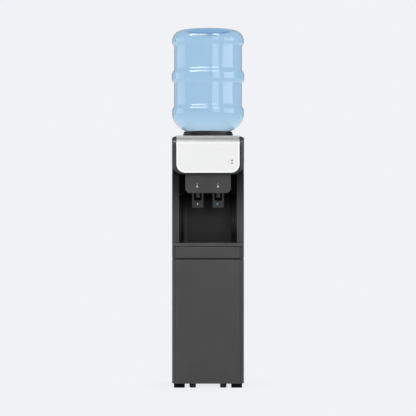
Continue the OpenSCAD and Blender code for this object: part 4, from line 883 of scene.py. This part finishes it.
@dataclass
class DispensingBay:
    """Recess with its tap panel, two push-back taps, and the drip tray with its grille."""

    tap_x: float = 38
    dot_z: float = 743
    dot_r: float = 3.7
    y_panel: float = -140
    y_paddle: float = -104
    valve_travel: float = 4.8

    def build(self) -> None:
        """Dresses the bay, winds its springs and prints its marks."""
        coat(Finishes.liner, "recess_liner", edge=1)
        coat(Finishes.tap_panel, "tap_panel", edge=1.2)
        coat(Finishes.tray, "drip_tray", edge=1)
        coat(Finishes.grille, "drip_grille", edge=0.5)
        coat(Finishes.tap, "left_tap_body", "right_tap_body", "tap_bonnets")
        coat(Finishes.paddle, "left_paddle", "right_paddle", edge=0.8)
        coat(Finishes.white_plastic, "left_valve_stem", "right_valve_stem", "tap_nuts")
        coat(Finishes.zinc, "paddle_pins")
        self.springs()
        self.marks()

    def springs(self) -> None:
        """Builds the two return springs as pieces with meshes of their own. The real springs are
        pressed shorter as their valves lift.
        """
        for side in ("left", "right"):
            node = f"{side}_valve_spring"
            mesh = bmesh.new()
            mesh.from_mesh(frame["nodes"][node].data)
            bmesh.ops.scale(mesh, vec=(1 / MM, 1 / MM, 1 / MM), verts=mesh.verts)
            coil = settle(f"{side}_coil_spring", mesh, Finishes.zinc, "cooler",
                          "stainless_steel", [node])
            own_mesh(coil)

    def marks(self) -> None:
        """Prints a dot over each tap, and a plain mark on each paddle."""
        for name, ink, rise, squash in (("panel_dots", Finishes.silver_ink, 0, 1),
                                        ("panel_dashes", Finishes.grey_ink, 9.5, 0.32)):
            mesh = bmesh.new()
            for x in (-self.tap_x - 2, self.tap_x - 1.2):
                self.disc(mesh, x, self.y_panel, self.dot_z + rise, self.dot_r, squash)
            settle(name, mesh, ink, "cooler", "tap_panel_plastic")
        mesh = bmesh.new()
        self.disc(mesh, self.tap_x - 3, self.y_paddle, 679, 3.9)
        settle("cold_mark", mesh, Finishes.blue_ink, "right_lever", "paddle_plastic")
        mesh = bmesh.new()
        self.drop(mesh, -self.tap_x - 0.5, self.y_paddle, 678, 2.6)
        settle("ambient_mark", mesh, Finishes.silver_ink, "left_lever", "paddle_plastic")

    @staticmethod
    def disc(mesh: bmesh.types.BMesh, x: float, y: float, z: float, radius: float,
             squash: float = 1) -> None:
        """Adds a printed disc or flat oval that lies on a face towards the front.

        Args:
            mesh: The mesh to add to.
            x: Its centre across.
            y: The face that it is printed on.
            z: Its height.
            radius: Its radius.
            squash: Its height as a share of its width.
        """
        place = facing_front(x, y, z) @ Matrix.Diagonal((1, squash, 1, 1))
        revolve(mesh, [(0, 0), (radius, 0), (radius, FILM / 2), (radius - FILM, FILM),
                       (0, FILM)], 32, place, closed=False)

    @staticmethod
    def drop(mesh: bmesh.types.BMesh, x: float, y: float, z: float, radius: float) -> None:
        """Adds a printed water drop that lies on a face towards the front.

        Args:
            mesh: The mesh to add to.
            x: Its centre across.
            y: The face that it is printed on.
            z: Height of the middle of its round part.
            radius: Radius of its round part.
        """
        outline = arc((0, 0), radius, 150, 390, 20) + [(0, 2.4 * radius)]
        back = [mesh.verts.new((x + u, y, z + w)) for u, w in outline]
        face = [mesh.verts.new((x + u, y - FILM, z + w)) for u, w in outline]
        mesh.faces.new(face)
        for i in range(len(outline)):
            j = (i + 1) % len(outline)
            mesh.faces.new((back[i], back[j], face[j], face[i]))


@dataclass
class Head:
    """Head shell with its silver fascia, indicator lenses and deck."""

    lens_x: float = 88.5
    lens_levels: tuple[float, float] = (839, 829)
    y_fascia: float = -155

    def build(self) -> None:
        """Dresses the head."""
        coat(Finishes.head, "head_shell", edge=1.2)
        coat(Finishes.shell, "top_cover", edge=0.8)
        coat(Finishes.fascia, "fascia", edge=1.2)
        coat(Finishes.red_lens, "power_lens")
        coat(Finishes.green_lens, "cooling_lens")
        coat(Finishes.board, "indicator_board")
        self.lights()

    def lights(self) -> None:
        """Builds the domed window over each lens, and the plain mark beside it."""
        red, green = self.lens_levels
        for name, finish, slot, z, squash in (
                ("power_window", Finishes.red_lens, "red_lens", red, 0.38),
                ("cooling_window", Finishes.green_lens, "green_lens", green, 0.85)):
            mesh = bmesh.new()
            half = 4.5 if squash < 0.5 else 3.4
            place = facing_front(self.lens_x, self.y_fascia, z) @ Matrix.Diagonal(
                (1, squash, 1, 1))
            dome = [(half * math.cos(a), 0.9 * math.sin(a))
                    for a in (math.radians(15 * i) for i in range(7))]
            revolve(mesh, [(0, 0)] + dome[:-1] + [(0, 0.9)], 40, place, closed=False)
            settle(name, mesh, finish, "cooler", slot, sharp=80)
        mesh = bmesh.new()
        for z in self.lens_levels:
            DispensingBay.disc(mesh, self.lens_x - 13, self.y_fascia, z, 3, 0.3)
        settle("lens_marks", mesh, Finishes.pale_ink, "cooler", "fascia_plastic")


@dataclass
class BottleStation:
    """Inverted bottle on its collar, with the cap and the feed probe."""

    diameter: float = 273
    wall: float = 1.6
    neck_r: float = 27.5
    dome_z: float = 1020
    ring_z: float = 1293
    top_z: float = 1334
    dome_w: float = 80
    dome_h: float = 72
    top_r: float = 40
    rib_proud: float = 1.3
    waist_depth: float = 8.5
    mouth_z: float = 853
    neck_z: float = 915
    base_dip: float = 14

    def build(self) -> None:
        """Builds the bottle, and dresses the collar and what is under them."""
        self.bottle()
        coat(Finishes.collar, "bottle_collar", edge=0.8)
        coat(Finishes.cap, "bottle_cap")
        coat(Finishes.white_plastic, "feed_probe")

    @staticmethod
    def step(z0: float, z1: float, r0: float, r1: float, steps: int = 14) -> list[Point]:
        """Points of a smooth step between two radii.

        Args:
            z0: Height where it starts.
            z1: Height where it ends.
            r0: Radius where it starts.
            r1: Radius where it ends.
            steps: Number of steps along it.

        Returns:
            Radius and height of each point.
        """
        return [(r0 + (r1 - r0) * (1 - math.cos(math.pi * i / steps)) / 2,
                 z0 + (z1 - z0) * i / steps) for i in range(steps + 1)]

    @staticmethod
    def shoulder(z0: float, z1: float, r0: float, r1: float, ease: float = 0.36) -> list[Point]:
        """Points of a rib's upper shoulder, easy at both ends and steep between them.

        Args:
            z0: Height where it starts.
            z1: Height where it ends.
            r0: Radius where it starts.
            r1: Radius where it ends.
            ease: Slope of its easy ends.

        Returns:
            Radius and height of each point.
        """
        steep = ((r0 - r1) / (z1 - z0) - 0.55 * ease) / 0.4
        marks = [(0, 0), (0.05, ease), (0.27, ease), (0.33, steep), (0.67, steep),
                 (0.73, ease), (0.95, ease), (1, 0)]
        points = [(r0, z0)]
        for (u0, slope0), (u1, slope1) in zip(marks, marks[1:]):
            for k in range(3):
                slope = slope0 + (slope1 - slope0) * (k + 0.5) / 3
                run = (z1 - z0) * (u1 - u0) / 3
                points.append((points[-1][0] - slope * run, points[-1][1] + run))
        return points

    def profile(self) -> list[Point]:
        """Returns the bottle's outer profile, from the mouth up to the middle of the base."""
        largest = self.diameter / 2
        full, waist = largest - self.rib_proud, largest - self.waist_depth
        dome_r = full - self.dome_w
        dome = [(dome_r + self.dome_w * math.sin(a), self.dome_z - self.dome_h * math.cos(a))
                for a in (math.radians(6 + 84 * i / 28) for i in range(29))]
        top = arc((full - self.top_r, self.ring_z), self.top_r, 0, 84, 24)
        return ([(self.neck_r, self.mouth_z), (self.neck_r, self.neck_z),
                 (self.neck_r + 6, self.neck_z + 10), (62, 948)]
                + dome + self.shoulder(1033, 1050, full, waist)
                + self.step(1131, 1146, waist, largest)
                + self.shoulder(1168, 1187, largest, waist)
                + self.step(1271, 1286, waist, full) + top
                + [(88, self.top_z), (80, self.top_z - 1), (72, self.top_z - 7),
                   (44, self.top_z - self.base_dip), (0, self.top_z - self.base_dip)])

    def bottle(self) -> bpy.types.Object:
        """Builds the bottle as one blown shell.

        Returns:
            The bottle.
        """
        outer = self.profile()
        inner: list[Point] = []
        for i, (radius, height) in enumerate(outer):
            before, after = outer[max(i - 1, 0)], outer[min(i + 1, len(outer) - 1)]
            run = Vector((after[0] - before[0], after[1] - before[1])).normalized()
            inner.append((max(radius - run.y * self.wall, 0.0), height + run.x * self.wall))
        inner[-1] = (0.0, self.top_z - self.base_dip - self.wall)
        mesh = bmesh.new()
        revolve(mesh, outer + inner[::-1], 160)
        bmesh.ops.remove_doubles(mesh, verts=mesh.verts, dist=0.001)
        return settle("bottle_shell", mesh, Finishes.bottle, "water_bottle", "bottle_plastic",
                      ["bottle"], sharp=60)


@dataclass
class WaterSystem:
    """Cold reservoir with its insulation, coil, hoses and drain."""

    def build(self) -> None:
        """Dresses the water system."""
        coat(Finishes.stainless, "reservoir")
        coat(Finishes.white_plastic, "reservoir_lid", "baffle", "drain_spout")
        coat(Finishes.foam, "tank_insulation")
        coat(Finishes.copper, "evaporator")
        coat(Finishes.hose, "water_hoses")
        coat(Finishes.trim, "drain_cap", edge=0.6)


@dataclass
class Refrigeration:
    """Compressor, condenser and the lines between them."""

    def build(self) -> None:
        """Dresses the refrigeration circuit."""
        coat(Finishes.compressor, "compressor")
        coat(Finishes.foot_rubber, "compressor_grommets")
        coat(Finishes.zinc, "compressor_bolts")
        coat(Finishes.relay, "start_relay", edge=0.8)
        coat(Finishes.condenser, "condenser")
        coat(Finishes.trim, "condenser_brackets", edge=0.6)
        coat(Finishes.copper, "filter_drier", "refrigerant_lines")


@dataclass
class Controls:
    """Thermostat with its knob, and the mains inlet with its rocker."""

    knob_x: float = 70
    knob_z: float = 761
    y_rear: float = 126.96
    scale_r: float = 17
    scale_steps: int = 10

    def scale(self) -> None:
        """Prints the thermostat's scale: bars that grow round the knob's 270 degrees."""
        mesh = bmesh.new()
        place = facing_back(self.knob_x, self.y_rear, self.knob_z)
        for i in range(self.scale_steps):
            angle = math.radians(-45 + 270 * i / (self.scale_steps - 1))
            turn = place @ Matrix.Rotation(angle, 4, "Z")
            half, reach = 0.5, self.scale_r + 1.5 + 0.35 * i
            corners = [(self.scale_r, -half), (reach, -half), (reach, half),
                       (self.scale_r, half)]
            low = [mesh.verts.new(turn @ Vector((u, v, 0))) for u, v in corners]
            top = [mesh.verts.new(turn @ Vector((u, v, FILM))) for u, v in corners]
            mesh.faces.new(top)
            for k in range(4):
                mesh.faces.new((low[k], low[(k + 1) % 4], top[(k + 1) % 4], top[k]))
        settle("thermostat_scale", mesh, Finishes.pale_ink, "cooler", "rear_steel")

    def build(self) -> None:
        """Dresses the controls."""
        self.scale()
        coat(Finishes.galvanised, "thermostat")
        coat(Finishes.trim, "thermostat_knob", edge=0.6)
        coat(Finishes.trim, "power_inlet", edge=0.6)
        coat(Finishes.switch, "power_switch", edge=0.5)


@dataclass(frozen=True)
class Softbox:
    """A rectangular light that faces the cooler, with its sizes in millimetres.

    Its azimuth counts in degrees from the front, positive to the right. A mirrored one is a
    card that shows in a sheen only, and any other lights only the rest.
    """

    name: str
    azimuth: float
    height: float
    distance: float
    width: float
    tall: float
    watts: float
    mirrored: bool

    def build(self) -> None:
        """Adds the light."""
        data = bpy.data.lights.new(self.name, "AREA")
        data.shape = "RECTANGLE"
        data.size, data.size_y = self.width * MM, self.tall * MM
        data.energy = self.watts
        light = bpy.data.objects.new(self.name, data)
        light.visible_glossy = self.mirrored
        light.visible_diffuse = not self.mirrored
        light.visible_transmission = False
        angle = math.radians(self.azimuth)
        light.location = Vector((math.sin(angle) * self.distance,
                                 -math.cos(angle) * self.distance, self.height)) * MM
        aim = Vector((0, 0, 0.7)) - light.location
        light.rotation_euler = aim.to_track_quat("-Z", "Y").to_euler()
        bpy.context.scene.collection.objects.link(light)


@dataclass
class Studio:
    """Camera, lights, surroundings and floor."""

    backdrop: str = "#f1f2f6"
    camera_y: float = -6275
    camera_z: float = 664
    lens: float = 143.95
    floor_half: float = 30000
    ambient: float = 0.55
    lights: tuple[Softbox, ...] = (
        Softbox("top_softbox", -8, 3300, 1500, 2400, 1600, 34.0, False),
        Softbox("front_softbox", -50, 1100, 2600, 2400, 2000, 21.0, False),
        Softbox("strip_card", 25, 1430, 2600, 1000, 940, 17.0, True),
        Softbox("right_card", 70, 1430, 2600, 1900, 940, 36.0, True),
        Softbox("left_card", -102, 1430, 2600, 1900, 940, 12.5, True),
        Softbox("high_card", -36, 3500, 2600, 3300, 1300, 285.0, True),
        Softbox("high_strip_card", 30, 3500, 2600, 1200, 1300, 104.0, True),
        Softbox("back_softbox", 160, 2000, 2600, 2600, 2200, 60.0, False))

    def build(self) -> None:
        """Sets up the studio."""
        scene = bpy.context.scene
        scene.view_settings.view_transform = "Standard"
        camera = bpy.data.objects.new("photo_camera", bpy.data.cameras.new("photo_camera"))
        camera.data.lens = self.lens
        camera.data.sensor_width = 36
        camera.location = Vector((0, self.camera_y, self.camera_z)) * MM
        camera.rotation_euler = (math.pi / 2, 0, 0)
        scene.collection.objects.link(camera)
        scene.camera = camera
        for light in self.lights:
            light.build()
        self.surroundings()
        self.floor()
        log.info("studio: camera %.0f mm lens, %d px frame", self.lens, PHOTO_PIXELS)

    def surroundings(self) -> None:
        """Makes the world: the backdrop to look at, and an even light on the object."""
        world = bpy.data.worlds.new("white_studio")
        bpy.context.scene.world = world
        world.use_nodes = True
        tree = world.node_tree
        tree.nodes.clear()
        add = partial(add_node, tree)
        path = add("ShaderNodeLightPath").outputs
        seen = add("ShaderNodeMath", {0: path["Is Camera Ray"], 1: path["Is Transmission Ray"]},
                   operation="MAXIMUM")
        light = add("ShaderNodeBackground", {"Color": linear("#ffffff"),
                                             "Strength": self.ambient})
        look = add("ShaderNodeBackground", {"Color": linear(self.backdrop), "Strength": 1.0})
        both = add("ShaderNodeMixShader", {0: seen.outputs[0], 1: light.outputs[0],
                                           2: look.outputs[0]})
        # What a sheen mirrors: a grey that is brighter in front, and not the backdrop
        away = add("ShaderNodeSeparateXYZ", {
            0: add("ShaderNodeTexCoord").outputs["Generated"]})
        front = add("ShaderNodeMapRange", {"Value": away.outputs[1], "From Min": -0.9,
                                           "From Max": 0.1, "To Min": 0.42, "To Max": 0.2})
        mirrored = add("ShaderNodeBackground", {"Color": linear("#ffffff"),
                                                "Strength": front.outputs[0]})
        # A ray that passes on through clear plastic counts as glossy too, and keeps the backdrop
        sheen = add("ShaderNodeMath", {0: path["Is Glossy Ray"], 1: path["Is Transmission Ray"]},
                    operation="SUBTRACT", use_clamp=True)
        room = add("ShaderNodeMixShader", {0: sheen.outputs[0], 1: both.outputs[0],
                                           2: mirrored.outputs[0]})
        add("ShaderNodeOutputWorld", {"Surface": room.outputs[0]})

    def floor(self) -> bpy.types.Object:
        """Lays the floor: the backdrop's colour, with a faint shadow close to the cooler.

        Returns:
            The floor.
        """
        mesh = bmesh.new()
        half = self.floor_half * MM
        mesh.faces.new([mesh.verts.new((x * half, y * half, 0))
                        for x, y in ((-1, -1), (1, -1), (1, 1), (-1, 1))])
        data = bpy.data.meshes.new("floor")
        mesh.to_mesh(data)
        mesh.free()
        surface = Surface("studio_floor")
        surface.put({"Base Color": linear(self.backdrop), "Roughness": 0.9,
                     "Specular IOR Level": 0.0})
        add = surface.add
        far = add("ShaderNodeVectorMath", {0: surface.place}, "Value", operation="LENGTH")
        share = add("ShaderNodeMapRange", {"Value": far, "From Min": 0.12, "From Max": 0.4,
                                           "To Min": 0.12, "To Max": 0.0},
                    interpolation_type="SMOOTHSTEP")
        unseen = add("ShaderNodeMath", {0: add("ShaderNodeLightPath", out="Is Diffuse Ray"),
                                        1: share}, operation="MAXIMUM")
        glow = add("ShaderNodeEmission", {"Color": linear(self.backdrop), "Strength": 1.0})
        both = add("ShaderNodeMixShader", {0: unseen, 1: glow, 2: surface.shader.outputs[0]})
        surface.tree.links.new(both, surface.output.inputs["Surface"])
        data.materials.append(surface.material)
        floor = bpy.data.objects.new("floor", data)
        bpy.context.scene.collection.objects.link(floor)
        return floor


def clear_start_scene() -> None:
    """Removes what Blender's own start-up scene holds, so that only the cooler is there."""
    kept = {*frame["nodes"].values(), *frame["bodies"].values()}
    for obj in list(bpy.context.scene.objects):
        if obj not in kept:
            bpy.data.objects.remove(obj, do_unlink=True)


def main() -> None:
    """Builds and dresses the cooler."""
    logging.basicConfig(level=logging.INFO, format="%(name)s: %(message)s")
    clear_start_scene()
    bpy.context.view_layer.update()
    for assembly in (Studio(), Feet(), Cabinet(), DispensingBay(), Head(), BottleStation(),
                     WaterSystem(), Refrigeration(), Controls()):
        assembly.build()
        log.info("%s: done", type(assembly).__name__)


if __name__ == "__main__":
    main()
